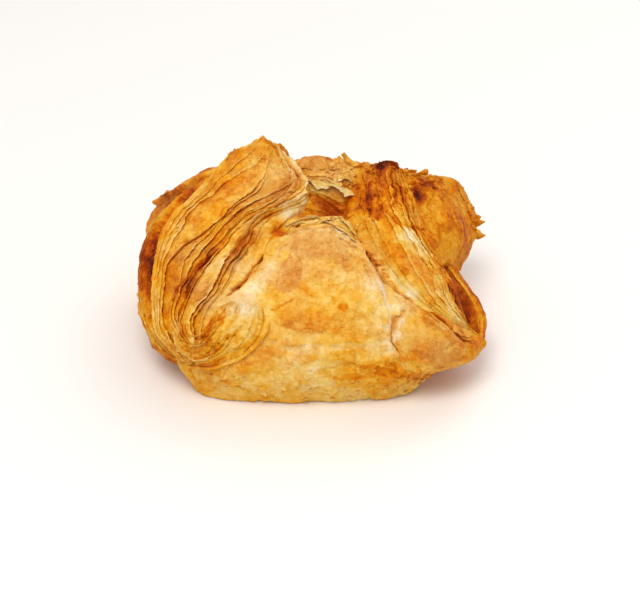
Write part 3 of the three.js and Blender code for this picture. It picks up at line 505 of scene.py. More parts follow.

# Thin cracks and ridges: path, half width, height, change of browning and share of dull crust along it. The
# browning added along the cracks, slits, grooves and gaps is painted shade in them; bands and streaks are the
# crust's own colour.
STROKES = [
    # round the front ear
    ([(28.4, -36.2, 30.3), (27, -36.6, 29.8), (26.1, -38, 28.7), (24.6, -38, 27.6), (24.3, -39.3, 25.3),
      (24, -41.4, 22.2), (25.6, -41.5, 19.1)], 0.35, -0.9, 0.34, 0.6),
    ([(26.5, -38, 28.4), (25.4, -38.6, 27), (25.2, -39.6, 25), (25, -41.4, 22)], 0.7, 0.3, -0.22, 0.9),
    ([(23.4, -38.4, 27.6), (23, -39.8, 25), (22.8, -41.6, 22), (24, -42, 18.5)], 1.2, 0.1, -0.10, 0.6),
    ([(33.4, -35.8, 30), (37.6, -35.9, 27), (40, -35.9, 24.5), (41.5, -35.4, 22.8), (44.9, -35.9, 19),
      (47.2, -34, 17)], 0.35, -0.8, 0.36, 0.0),
    ([(33, -37, 28.8), (37, -37.4, 26), (40, -37, 23.4), (44, -36.6, 18.6)], 0.6, 0.3, -0.12, 0.6),
    # seam between the front flap and the right flap
    ([(14.4, -13.7, 39.7), (17.9, -19.6, 37.6), (21.3, -26, 36.2), (24, -30, 34.8), (27.3, -33.2, 33),
      (29.9, -34.8, 31.5)], 0.45, -0.6, 0.5, 0.6),
    ([(15, -17, 39.4), (17.6, -22, 38), (20, -28, 35.8), (22.6, -33, 33.4)], 1.4, 0.2, -0.12, 0.5),
    ([(12.3, -7.5, 41), (12.9, -10.5, 40.8), (14.1, -13.9, 40.2)], 0.42, -0.7, 0.42, 0.6),
    # creases at the left of the front flap
    ([(-4.2, -34.5, 33.6), (-6.8, -35.4, 32.1), (-10.3, -36.2, 30.6), (-11.5, -36.9, 29.7)], 0.3, -0.4,
      0.24, 0.2),
    ([(-14.4, -18.5, 38.4), (-16.1, -22.2, 37.1), (-17.8, -24.2, 35.6), (-19.8, -27, 34.5),
      (-22.1, -30, 33.6), (-24.9, -32.6, 32)], 0.65, -1.8, 0.66, 0.9),
    # slit beside the hollow, darkened as a painted shadow, and the torn slivers on the lip
    ([(-11.8, -10, 40.6), (-9.5, -8.6, 41.2), (-7.5, -7.7, 41.6), (-5, -7.8, 41.7), (-2.6, -8.6, 41.6)],
     1.0, -1.5, 0.60, 0.3),
    ([(6.4, -9, 42.4), (8.6, -11, 42), (10.8, -13, 41.4), (12.6, -14.2, 41)], 0.5, 0.3, -0.26, 0.9),
    ([(-6, -9.8, 41.8), (-2, -9.2, 42.2), (2.5, -7.6, 42.6), (7, -7, 42.6)], 0.3, -0.3, 0.20, 0.0),
    # brown band across the right flap and the streaks above it
    ([(16.7, -0.3, 43.8), (18.9, -2.4, 44.3), (20.6, -6.6, 43.8), (23.4, -4.4, 44.8), (26.6, -9.4, 43),
      (30.7, -6.7, 41), (34.6, -1.8, 36.9)], 0.9, -0.4, 0.24, -0.5),
    ([(20.7, 9.7, 48.9), (21.3, -1, 45.6), (20.4, -7.2, 43.3)], 0.6, -0.3, 0.20, 0.0),
    ([(28.1, 9.2, 46.6), (29.4, 2.2, 43.8), (30.5, -6, 41)], 0.5, -0.4, 0.24, 0.0),
    ([(24.6, 11, 50.8), (25.1, 5.6, 46.8), (25.7, -5.3, 44.2)], 0.5, -0.3, 0.18, 0.0),
    ([(17.5, 9, 47), (18.2, 2, 45.4), (18, -5, 43)], 0.5, -0.3, 0.22, 0.0),
    ([(26.2, -9.7, 42.6), (27.6, -15, 41.6), (28.8, -20, 40.2)], 0.5, 0.4, -0.08, 0.2),
    ([(29.8, -8.6, 42), (33.4, -12, 37.8), (36.7, -13.4, 33.6)], 0.5, 0.4, -0.10, 0.2),
    ([(28.2, -9, 42.4), (31, -13.8, 40), (33.4, -20, 36.8)], 0.5, 0.4, -0.06, 0.2),
    # dark layers down its outer edge
    ([(29.6, -12.6, 41), (32.6, -17, 38), (35.5, -19, 35.9), (39.3, -20, 30.7), (43.2, -23.3, 25.8)],
     0.5, -0.5, 0.26, -0.5),
    ([(35, -9.8, 35.8), (36.8, -11.4, 33.2), (39.3, -13.6, 30), (41.4, -17, 27.6)], 0.6, -0.9, 0.36, -0.5),
    # gap between the right flap and the shell, darkened as painted shade
    ([(37.8, -16.7, 32.1), (40.2, -18.1, 29.8), (42.3, -20.6, 27.1), (43.4, -22.7, 24.9), (45.5, -24.2, 21.3),
      (47, -29, 17.8)], 0.8, -1.0, 0.34, -0.5),
    # olive groove darkened as painted shade, red streaks and golden lip down the left flap
    ([(-18.7, -10.7, 43.5), (-19.8, -14.4, 42.2), (-21.5, -17.9, 40.1), (-23.5, -21.1, 38.2)], 2.0, -1.3,
      0.20, 0.3),
    ([(-25.9, -18.2, 40.3), (-30, -21.2, 38.9), (-33.2, -21.4, 36.4), (-35.6, -24.3, 34.6),
      (-39, -25.4, 30.3), (-40.7, -27.7, 26.8)], 0.55, -0.9, 0.26, -0.5),
    ([(-29.4, -21.1, 38.9), (-31.5, -22.1, 37.4), (-33.2, -23.2, 35.7)], 1.1, -0.6, 0.17, -0.6),
    ([(-35.8, -27.5, 32.8), (-36.9, -28.5, 31), (-37.9, -28.5, 28.9)], 1.1, -0.6, 0.17, -0.6),
    ([(-15.6, -3.9, 46.9), (-19.8, -9.5, 44.1), (-23.9, -16.3, 42.2), (-25.8, -20.8, 39.9),
      (-26.4, -23.1, 38.4), (-28.8, -23.3, 36.4), (-30.8, -26.6, 35.5), (-33.4, -27.6, 31.5)], 0.8, 0.7,
      -0.14, -0.2),
    ([(-29.2, -24.5, 35.8), (-29.5, -27.6, 33.7), (-31.1, -31.2, 32.4), (-33.9, -31.2, 29.5)], 0.5, -0.8,
      0.28, 0.4),
    ([(-26.7, -8.3, 44.5), (-26.1, -5.5, 45.3), (-24.6, -4.4, 46.1), (-22.8, -5, 45.8)], 0.4, -0.5, 0.30,
      0.2),
    # fine layers down the right edge of the left flap
    ([(-12.9, 12.8, 58), (-10.6, 12, 56.5), (-9, 11, 53.9), (-6.4, 8.3, 50.6), (-6.4, 5.7, 48.4),
      (-9.9, 0.5, 46.5), (-13.8, -3.1, 45.7)], 0.4, -0.6, 0.24, 0.0),
    ([(-12, 13, 57.6), (-10, 12.4, 55.6), (-8, 10.9, 53.4), (-5.2, 8.8, 50), (-5.2, 6, 48.2), (-8, 1.5, 46.5),
      (-12.4, -3.4, 44.7)], 0.5, 0.5, -0.14, 0.3),
    ([(-10.6, 12.8, 56.9), (-6.8, 10.8, 53.3), (-4.2, 9.3, 49.6), (-4.2, 6.5, 48), (-6.4, 2.5, 46.5),
      (-11.1, -3.7, 43.7), (-14.6, -7.9, 43.3)], 0.4, -0.5, 0.26, 0.0),
    ([(-10.4, 10.6, 54.4), (-8.5, 9.9, 52.8), (-8.2, 7.8, 50.5), (-8.2, 4.9, 48.6), (-11.7, 0.5, 46.8),
      (-15.9, -3.5, 46.7)], 0.35, -0.5, 0.20, 0.0),
    # torn notches along the ridge of the right flap
    ([(31.7, -16.2, 39.1), (33.6, -20.2, 37), (35.3, -22.7, 35.4), (36.6, -22.9, 33.8)], 0.4, -0.6, 0.30,
      0.0),
    # fine layers of the fan at the front left corner
    ([(-15.3, -33, 31.4), (-14.1, -38, 28.3), (-17, -40.2, 24.2), (-22.6, -40.3, 20.4), (-30.6, -39.8, 16.5)],
     0.4, 0.4, -0.12, 0.2),
    ([(-18.3, -32.2, 31.6), (-17.6, -36.4, 28.3), (-21.1, -38.9, 24), (-27.9, -40, 20.2)], 0.35, -0.5, 0.22,
      0.0),
    ([(-20, -32.6, 31.5), (-19.4, -36.8, 28.4), (-22.8, -38.8, 24.3), (-28.8, -39.8, 20.6)], 0.5, 0.3,
      -0.12, 0.2),
    ([(-21.7, -33.1, 31.4), (-21.4, -37.2, 28.5), (-24.6, -38.6, 24.6), (-29.9, -39.7, 21)], 0.35, -0.5,
      0.22, 0.0),
    ([(-25.2, -34.4, 30.1), (-25.8, -37.6, 27.3), (-28.7, -38.7, 23.2), (-33.5, -38.1, 20.7)], 0.5, -0.7,
      0.28, 0.0),
    ([(-28.2, -35.5, 26.7), (-29.9, -38.6, 24.5), (-32.3, -38.5, 21.7)], 0.7, -0.5, 0.30, -0.3),
    # short cracks in the broad sheets of the left flap
    ([(-27, -8, 44.6), (-24.1, -6.2, 46.1), (-19.9, -4.6, 46.8)], 0.35, -0.6, 0.34, 0.2),
    ([(-41.4, -11.1, 37.7), (-34.7, -13.6, 40.4), (-29, -11.3, 42.4)], 0.35, -0.5, 0.28, 0.0),
]

# ---- Smooth randomness and curves --------------------------------------------------------------------------

NOISE_TABLE = np.random.RandomState(7).rand(4096) * 2 - 1


def noise(points, size, seed=0):
    """Smooth values from -1 to 1 that vary over about size millimetres; size may be one number or three."""
    q = points / np.asarray(size, float) + seed * 17.31
    cell = np.floor(q).astype(np.int64)
    f = q - cell
    w = f * f * f * (f * (f * 6 - 15) + 10)
    total = 0.0
    for corner in np.ndindex(2, 2, 2):
        c = cell + corner
        key = (c[..., 0] * 73856093) ^ (c[..., 1] * 19349663) ^ (c[..., 2] * 83492791)
        key = (key ^ (key >> 13)) & 4095
        total = total + NOISE_TABLE[key] * np.prod(np.where(corner, w, 1 - w), axis=-1)
    return total


def fbm(points, size, octaves=3, seed=0):
    """Noise summed over octaves, each half the size and strength of the last."""
    size = np.asarray(size, float)
    return sum(noise(points, size / 2**k, seed + k) / 2**k for k in range(octaves))


def noise_1d(along, lane, size, seed=0):
    """Noise along a line, different for each lane."""
    points = np.stack(np.broadcast_arrays(along / size, lane * 9.7 + 0.5, 0.5), axis=-1)
    return noise(points, 1.0, seed)


def smooth(value, low, high):
    """0 below low, 1 above high and an even slope between."""
    t = np.clip((value - low) / (high - low), 0, 1)
    return t * t * (3 - 2 * t)


def catmull_rom(a, b, c, d, f):
    """Between b and c at the share f, on the smooth curve through a, b, c and d."""
    return 0.5 * (2 * b + (c - a) * f + (2 * a - 5 * b + 4 * c - d) * f**2 + (3 * b - a - 3 * c + d) * f**3)


def spline(knots, t):
    """Points of the curve through the knots at the shares t.

    Knots are (knots, 3) with t (n), or (knots, rows, 3) with t (rows, n)."""
    k = np.concatenate([2 * knots[:1] - knots[1:2], knots, 2 * knots[-1:] - knots[-2:-1]])
    s = np.clip(t, 0, 1) * (len(knots) - 1)
    i = np.minimum(s.astype(int), len(knots) - 2)
    row = () if knots.ndim == 2 else (np.arange(knots.shape[1])[:, None],)
    return catmull_rom(*(k[(i + n, *row)] for n in range(4)), (s - i)[..., None])


def unit(v):
    return v / np.maximum(np.linalg.norm(v, axis=-1, keepdims=True), 1e-9)


# ---- Crust relief and browning -----------------------------------------------------------------------------


def near(points, places):
    """The sum of each place's change, faded out over its reach with an uneven edge."""
    bent = points + 1.6 * np.stack([noise(points, 4, 40 + k) for k in range(3)], axis=-1)
    bent = bent + 0.7 * np.stack([noise(points, 1.5, 50 + k) for k in range(3)], axis=-1)
    total = 0.0
    for place, reach, change in places:
        total = total + change * np.exp(-((np.linalg.norm(bent - place, axis=-1) / reach) ** 2))
    return total


def stroked(points):
    """Height, browning and dull crust that the strokes add, with uneven width and faded ends; the browning
    along cracks and gaps is painted shade.
    """
    flat = points.reshape(-1, 3)
    total = np.zeros((3, len(flat)))
    for path, reach, *changes in STROKES:
        path = np.array(path, float)
        line = spline(path, np.linspace(0, 1, 3 * len(path)))
        inside = (flat > line.min(0) - STROKE_MARGIN) & (flat < line.max(0) + STROKE_MARGIN)
        close = np.flatnonzero(inside.all(axis=1))
        own = flat[close]
        own = own + 0.45 * np.stack([noise(own, 1.7, 90 + k) for k in range(3)], axis=-1)
        start, run = line[:-1], np.diff(line, axis=0)
        share = np.clip(((own[:, None] - start) * run).sum(-1) / (run * run).sum(-1), 0, 1)
        gap = own[:, None] - start - share[..., None] * run
        outward = unit(start - HEART)
        up = (gap * outward).sum(-1, keepdims=True)
        too_deep = np.abs(up[..., 0]) > STROKE_DEPTH
        aside = np.linalg.norm(gap - up * outward, axis=-1) + 9 * too_deep
        nearest = aside.argmin(axis=1)
        row = np.arange(len(close))
        s = (nearest + share[row, nearest]) / len(run)
        wide = reach * (np.minimum(1, 5 * np.minimum(s, 1 - s) + 0.25) + 0.35 * noise(own, 2.4, 93))
        weight = np.exp(-((aside[row, nearest] / np.maximum(wide, 0.05)) ** 2))
        total[:, close] += np.array(changes)[:, None] * weight
    return total.reshape(3, *points.shape[:-1])


def crust_relief(points, seed=0):
    """Height of blisters, broken skins and wrinkles in millimetres, and how many skins are left."""
    bent = points + 1.6 * np.stack([noise(points, 5, seed + k) for k in (1, 2, 3)], axis=-1)
    swell = 0.45 * fbm(points, 11, 2, seed + 4)
    skins = fbm(bent, (7, 7, 4.5), 4, seed + 7)
    left = smooth(skins, -0.30, -0.27) + smooth(skins, 0.0, 0.03) + smooth(skins, 0.34, 0.37)
    wrinkle = (1 + near(points, CREASES)) * 0.13 * (1 - 2 * np.abs(fbm(bent, 3.6, 3, seed + 12)))
    return swell + 0.22 * (left - 1.5) + wrinkle, left / 3


def browning(points, start, left):
    """How far each point of the crust has baked, from 0 for raw dough to 1 for burnt, with the painted shade
    that the TONES put in gaps and hollows.
    """
    bake = start + 0.08 * fbm(points, 12, 3, 30) + 0.06 * fbm(points, 2.6, 3, 34) + 0.14 * (left - 0.5)
    return bake + near(points, TONES)


def matte_crust(points, left):
    """Where the crust has lost its golden skin and shows dull tan sheets, from 0 to 1."""
    bare = smooth(fbm(points, 6, 4, 80), 0.16, 0.22) * 0.3
    return np.clip(bare + near(points, MATTES) * (0.5 + left), 0, 1)


# ---- Meshes ------------------------------------------------------------------------------------------------


def make_mesh(name, points, faces, attributes):
    """A smooth mesh from drawn millimetres, with one number for each vertex under each attribute's name."""
    mesh = bpy.data.meshes.new(name)
    corner = points[np.array([face[:3] for face in faces])] - HEART
    if np.einsum("ij,ij->i", corner[:, 0], np.cross(corner[:, 1], corner[:, 2])).sum() < 0:
        faces = [face[::-1] for face in faces]
    mesh.from_pydata((points - BOX_MIDDLE) * MM, [], faces)
    for key, values in attributes.items():
        kind = "FLOAT_VECTOR" if values.ndim == 2 else "FLOAT"
        layer = mesh.attributes.new(key, kind, "POINT")
        layer.data.foreach_set("vector" if values.ndim == 2 else "value", values.astype(np.float32).ravel())
    mesh.shade_smooth()
    mesh.set_sharp_from_angle(angle=SHARP_FROM)
    mesh.update()
    piece = bpy.data.objects.new(name, mesh)
    bpy.context.scene.collection.objects.link(piece)
    return piece


def grid_faces(rows, columns, closed=False):
    """Quads of a grid, rows by columns, facing the side from which rows run up and columns run right."""
    i, j = np.meshgrid(np.arange(rows - 1), np.arange(columns if closed else columns - 1), indexing="ij")
    a = i * columns + j
    b = i * columns + (j + 1) % columns
    return np.stack([a, b, b + columns, a + columns], axis=-1).reshape(-1, 4)


def grid_sides(rows, columns):
    """Neighbouring vertices along each side of a grid, in the order of a wall that faces outwards."""
    top, left = np.arange(columns - 1), np.arange(rows - 1) * columns
    bottom, right = top + (rows - 1) * columns, left + columns - 1
    return [(top + 1, top), (bottom, bottom + 1), (left, left + columns), (right + columns, right)]


def ringed_faces(rows, around):
    """Faces of a stack of rings, closed by fans to two more vertices, one at each end."""
    count = rows * around
    ring = np.arange(around)
    following = (ring + 1) % around
    top = count - around
    below = np.stack([following, ring, np.full(around, count)], axis=-1)
    above = np.stack([top + ring, top + following, np.full(around, count + 1)], axis=-1)
    return grid_faces(rows, around, closed=True).tolist() + np.concatenate([below, above]).tolist()


def finish_piece(piece, material):
    """Gives a piece its crust and puts it in the frame in place of the plain solid."""
    if material.name not in piece.data.materials:
        piece.data.materials.append(material)
    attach(piece, "root")
    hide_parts("pastry")
    return piece


# ---- Folds -------------------------------------------------------------------------------------------------


def fold_edges(fold):
    """A fold's edges, drawn or evenly laid, each followed by the thin pages that show below it."""
    count = fold.get("sheets", 0)
    jitter = 0.5 * (np.random.RandomState(fold["seed"]).rand(count + 1) - 0.5)
    even = []
    for k in range(1, count):
        path = [(k + jitter[k]) / count] * EDGE_POINTS
        even.append((fold["rise"], fold["overhang"], 0.0, fold["fibre"], fold["pages"], path))
    grown = []
    for group, (rise, overhang, tone, fibre, pages, path) in enumerate(fold.get("edges", even)):
        share = 1 / (1 + 0.6 * pages)
        grown.append((rise * share, overhang, tone, fibre, group, 0, path))
        for page in range(1, pages + 1):
            page_tone = tone + (-0.10, 0.06)[page % 2]
            grown.append((0.6 * rise * share, 0.4 * overhang, page_tone, 1.0, group, page, path))
    return grown


def sheet_edges(us, fold, width, length):
    """Where each sheet's edge runs at each row, its overhang and rise, and each sheet's tone and fibre."""
    seed = fold["seed"]
    rise, overhang, tones, fibres, group, page, paths = zip(*fold_edges(fold))
    rise, overhang, group, page = (np.array(each, float)[None, :] for each in (rise, overhang, group, page))
    paths = np.stack([spline(np.array(path, float)[:, None], us)[:, 0] for path in paths], axis=1)
    mm = us[:, None] * length
    free = np.minimum(1, 6 * np.minimum(us, 1 - us) + 0.08)[:, None]
    lane = group + 40 * page
    bend = noise_1d(mm, group, BEND_SIZES[0], seed) + 0.5 * noise_1d(mm, group, BEND_SIZES[1], seed + 1)
    step = page * (PAGE_STEP + 0.5 * noise_1d(mm, lane, PAGE_SIZE, seed + 5)) * free
    paths = paths + (fold["wander"] * free * bend + step) / width[:, None]
    v = np.concatenate([0 * mm, paths, 0 * mm + 1], axis=1)
    gap = 0.2 * free[:, 0] / width
    for k in range(1, v.shape[1]):
        v[:, k] = np.maximum(v[:, k], v[:, k - 1] + gap)
    v = v / v[:, -1:]
    tears = [noise_1d(mm, lane, size, seed + k) for size, k in zip(TEAR_SIZES, (2, 3, 6))]
    torn = 0.7 + 0.6 * tears[0] + 0.4 * tears[1] + 0.25 * tears[2]
    lift = 0.8 + 0.5 * noise_1d(mm, lane, LIFT_SIZE, seed + 4)
    room = np.minimum(1, np.diff(v, axis=1)[:, 1:] * width[:, None] / 1.2)
    rise = np.pad(rise * lift * free * (0.5 + 0.5 * room), ((0, 0), (1, 1)))
    overhang = np.pad(overhang * np.clip(torn, 0.05, 2) * free * room, ((0, 0), (1, 1)))
    return v, overhang, rise, (*tones, 0.0), (*fibres, fold["fibre"])


def sheet_columns(us, fold, width, length):
    """The columns of a fold's grid: v, height over the skin, slide across it, how much of a lip each point is
    and the painted shade that it gets where it lies below one, tone, fibre, distance to the sheet's end, and
    the sheet's number."""
    edges, overhang, rise, tones, fibres = sheet_edges(us, fold, width, length)
    columns = []
    for k in range(len(tones)):
        start, end = edges[:, k], edges[:, k + 1]
        span = (end - start) * width
        over, up, under, low = overhang[:, k + 1], rise[:, k + 1], overhang[:, k], rise[:, k]
        reach = np.minimum(2.5, span / 2.5)
        for t in np.linspace(0, 1, max(3, int(np.percentile(span, 80) / COLUMN_STEP))) ** 0.9:
            first, last = t * span, (1 - t) * span
            v = start + (end - start) * t
            height = 0.5 * up * np.exp(-last / reach) - 0.5 * low * np.exp(-first / reach)
            aside = over * t**3 - 0.8 * under * (1 - t) ** 3
            # painted shade on the start of a sheet, where the sheet before it overhangs
            dark = np.clip(1 - first / 0.9, 0, 1) * np.clip(low / 0.9, 0, 1)
            lip = np.clip(1 - last / 0.6, 0, 1) * np.clip(up / 0.6, 0, 1)
            columns.append((v, height, aside, lip, dark, tones[k], fibres[k], last, k))
        if k < len(tones) - 1:
            thick = np.minimum(fold["thick"], 0.6 * up + 0.02)
            same = (tones[k], fibres[k], 0.0, k)
            # the sheet's rim: its top counts as a lip, and its underside gets painted shade
            columns.append((end, 0.5 * up - 0.5 * thick, over + 0.08, 1.0, 0.0, *same))
            columns.append((end, 0.5 * up - thick, over - 0.05, 0.8, 0.3, *same))
            columns.append((end, -0.3 * up, 0.1 * over, 0.0, 1.0, *same))
    return [np.stack([value + 0 * us for value in values], axis=1) for values in zip(*columns)]


def fold_patches(fold, u, v, skin):
    """How deep, browner and duller the broken patches of a fold are at each point of its skin."""
    total = np.zeros((3, *v.shape))
    patches = fold.get("patches", ())
    if not patches:
        return total
    coarse, fine = noise(skin, 3.2, fold["seed"]), noise(skin, 1.3, fold["seed"] + 1)
    for u0, v0, du, dv, depth, change, dull, soft in patches:
        far = ((u - u0) / du) ** 2 + ((v - v0) / dv) ** 2 + 0.45 * coarse + 0.3 * fine
        total += np.array([depth, change, dull])[:, None, None] * smooth(-far, -1 - soft, -1 + soft)
    return total


def fold_grid(fold):
    """A fold's skin as a grid of rows along its rails by columns across its sheets, with its attributes."""
    rails = [np.array(rail, float) for rail in fold["rails"]]
    trial = np.stack([spline(rail, np.linspace(0, 1, 60)) for rail in rails])
    length = np.linalg.norm(np.diff(trial, axis=1), axis=2).sum(axis=1).max()
    us = np.linspace(0, 1, int(length / ROW_STEP))
    lines = np.stack([spline(rail, us) for rail in rails])
    width = np.linalg.norm(np.diff(lines, axis=0), axis=2).sum(axis=0)
    v, height, slide, lip, dark, tone, fibre, last, sheet = sheet_columns(us, fold, width, length)
    skin = spline(lines, v)
    step = 0.004
    across = spline(lines, np.clip(v + step, 0, 1)) - spline(lines, np.clip(v - step, 0, 1))
    outward = unit(skin - HEART)
    across = unit(across - (across * outward).sum(-1, keepdims=True) * outward)
    u = us[:, None] + 0 * v
    sides = {"first": v, "last": 1 - v, "start": u, "end": 1 - u}
    for side in fold.get("tuck", ()):
        height = height - TUCK_DEPTH * np.maximum(0, 1 - sides[side] / TUCK_SHARE) ** 2
    depth, change, bare = fold_patches(fold, u, v, skin)
    points = skin + across * slide[..., None] + outward * (height - depth)[..., None]
    relief, left = crust_relief(points, fold["seed"])
    points = points + outward * relief[..., None]
    tone = tone + change + 0.06 * noise_1d(sheet, 0 * sheet, 1, fold["seed"])
    return {
        "points": points,
        "bake": browning(points, fold["bake"], left) + tone,
        "matte": matte_crust(points, left) + bare,
        "lip": lip,
        "dark": dark,
        "fibre": fibre,
        "lay": np.stack([u * length, last, sheet], axis=-1),
    }


def smoothed(directions):
    """Directions along an edge, each averaged with its neighbours."""
    padded = np.pad(directions, ((7, 7), (0, 0)), mode="edge")
    sums = np.cumsum(np.concatenate([np.zeros((1, 3)), padded]), axis=0)
    return unit(sums[15:] - sums[:-15])


def rolled(grid):
    """The grid with each side carried on round a small curve towards the heart, browner and in painted shade
    as it goes under.
    """
    for _ in range(2):
        points = grid["points"]
        ends = []
        for edge, inner in ((0, 1), (-1, -2)):
            back = smoothed(unit(points[edge] - points[inner]))
            outward = unit(points[edge] - HEART)
            turns = np.linspace(0, ROLL_TURN, ROLL_ROWS + 1)[1:, None, None]
            ends.append(points[edge] + ROLL * (back * np.sin(turns) - outward * (1 - np.cos(turns))))
        grown = {}
        for key, values in grid.items():
            before, after = (np.repeat(values[e][None], ROLL_ROWS, axis=0) for e in (0, -1))
            under = np.linspace(0, 1, ROLL_ROWS + 1)[1:, None]
            if key == "points":
                before, after = ends[0][::-1], ends[1]
            elif key in UNDERSIDE_BROWNING_AND_SHADE:
                before, after = before + UNDERSIDE_BROWNING_AND_SHADE[key] * under[::-1], after + UNDERSIDE_BROWNING_AND_SHADE[key] * under
            grown[key] = np.swapaxes(np.concatenate([before, values, after]), 0, 1)
        grid = grown
    return grid


def build_fold(name, fold, settings, material):
    """A fold as one closed mesh: the relief of its sheets outside, drawn to the heart inside."""
    grid = rolled(fold_grid(fold))
    lift, change, dull = stroked(grid["points"])
    grid["points"] = grid["points"] + unit(grid["points"] - HEART) * lift[..., None]
    grid["points"][..., 2] = np.maximum(grid["points"][..., 2], SOLE_GAP)
    grid["bake"] = grid["bake"] + change + settings.browning
    grid["matte"] = np.clip(grid["matte"] + dull, 0, 1)
    rows, columns = grid["bake"].shape
    heart = rows * columns
    walls = [np.stack([a, b, np.full_like(a, heart)], axis=-1) for a, b in grid_sides(rows, columns)]
    faces = grid_faces(rows, columns).tolist() + np.concatenate(walls).tolist()
    unseen = fold.get("unseen", UNSEEN)
    table = {key: np.append(values.ravel(), unseen) for key, values in grid.items() if values.ndim == 2}
    table["lay"] = np.concatenate([grid["lay"].reshape(-1, 3), np.zeros((1, 3))])
    points = np.concatenate([grid["points"].reshape(-1, 3), HEART[None]])
    return finish_piece(make_mesh(name, points, faces, table), material)


# ---- The parcel and its puffs ------------------------------------------------------------------------------


def ring_at(level):
    """Rows of RINGS between whole levels, with the end rings held."""
    last = len(RINGS) - 1
    i = np.minimum(np.floor(level).astype(int), last - 1)
    return catmull_rom(*(RINGS[np.clip(i + k, 0, last)] for k in (-1, 0, 1, 2)), (level - i)[..., None])


def ring_points(level, azimuth):
    """Points of the parcel at ring levels and azimuths in radians."""
    x, y, w, d, n, z = np.moveaxis(ring_at(level), -1, 0)
    cos, sin = np.cos(azimuth), np.sin(azimuth)
    radius = ((np.abs(cos) / w) ** n + (np.abs(sin) / d) ** n) ** (-1 / n)
    for middle, ring, wide, tall, out, up in SWELLINGS:
        turn = (np.degrees(azimuth) - middle + 540) % 360 - 180
        weight = np.exp(-((turn / wide) ** 2) - ((level - ring) / tall) ** 2)
        radius = radius + out * weight
        z = z + up * weight
    return np.stack([x + radius * cos, y + radius * sin, z], axis=-1)


def crust_table(points, start, left):
    """Attributes of crust that has no sheets of its own."""
    count = len(points)
    zero = np.zeros(count)
    return {
        "bake": browning(points, start, left),
        "matte": matte_crust(points, left),
        "lip": zero,
        "dark": zero,
        "fibre": zero + 0.3,
        "lay": points.copy(),
    }


def build_parcel(settings, material):
    """The plain parcel under the flaps, closed by its flat sole and by the floor of the hollow."""
    rows, around = PARCEL_GRID
    level = np.linspace(0, len(RINGS) - 1, rows)[:, None]
    azimuth = np.linspace(0, 2 * np.pi, around, endpoint=False)[None, :]
    level, azimuth = np.broadcast_arrays(level, azimuth)
    points = ring_points(level, azimuth)
    relief, left = crust_relief(points, 5)
    lift = relief * smooth(level, 0.3, 1.2) - PARCEL_DEPTH * smooth(level, 1.2, 2.6)
    points = points + unit(points - HEART) * lift[..., None]
    points[..., 2] = np.maximum(points[..., 2], 0.05)
    points[0, :, 2] = 0
    sole, floor = (RINGS[0, 0], RINGS[0, 1], 0), (RINGS[-1, 0], RINGS[-1, 1], RINGS[-1, 5] - 1)
    flat = np.concatenate([points.reshape(-1, 3), [sole, floor]])
    left = np.append(left.ravel(), [0.5, 0.5])
    table = crust_table(flat, 0.58 + settings.browning, left)
    return finish_piece(make_mesh("parcel", flat, ringed_faces(rows, around), table), material)


def build_puff(name, middle, radii, turn, settings, material):
    """A puffed lump, a ball drawn out to its radii with blisters on it."""
    rows, around = PUFF_GRID
    down = np.linspace(0, np.pi, rows)[1:-1, None]
    azimuth = np.linspace(0, 2 * np.pi, around, endpoint=False)[None, :]
    down, azimuth = np.broadcast_arrays(down, azimuth)
    ball = np.stack([np.sin(down) * np.cos(azimuth), np.sin(down) * np.sin(azimuth), -np.cos(down)], axis=-1)
    ball = np.concatenate([ball.reshape(-1, 3), [(0, 0, -1), (0, 0, 1)]]) * radii
    cos, sin = math.cos(math.radians(turn)), math.sin(math.radians(turn))
    points = ball @ np.array([[cos, sin, 0], [-sin, cos, 0], [0, 0, 1]]) + middle
    relief, left = crust_relief(points, 6)
    points = points + unit(points - np.array(middle)) * relief[:, None]
    table = crust_table(points, 0.6 + settings.browning, left)
    return finish_piece(make_mesh(name, points, ringed_faces(rows - 2, around), table), material)


# ---- Loose ribbons and leaves ------------------------------------------------------------------------------

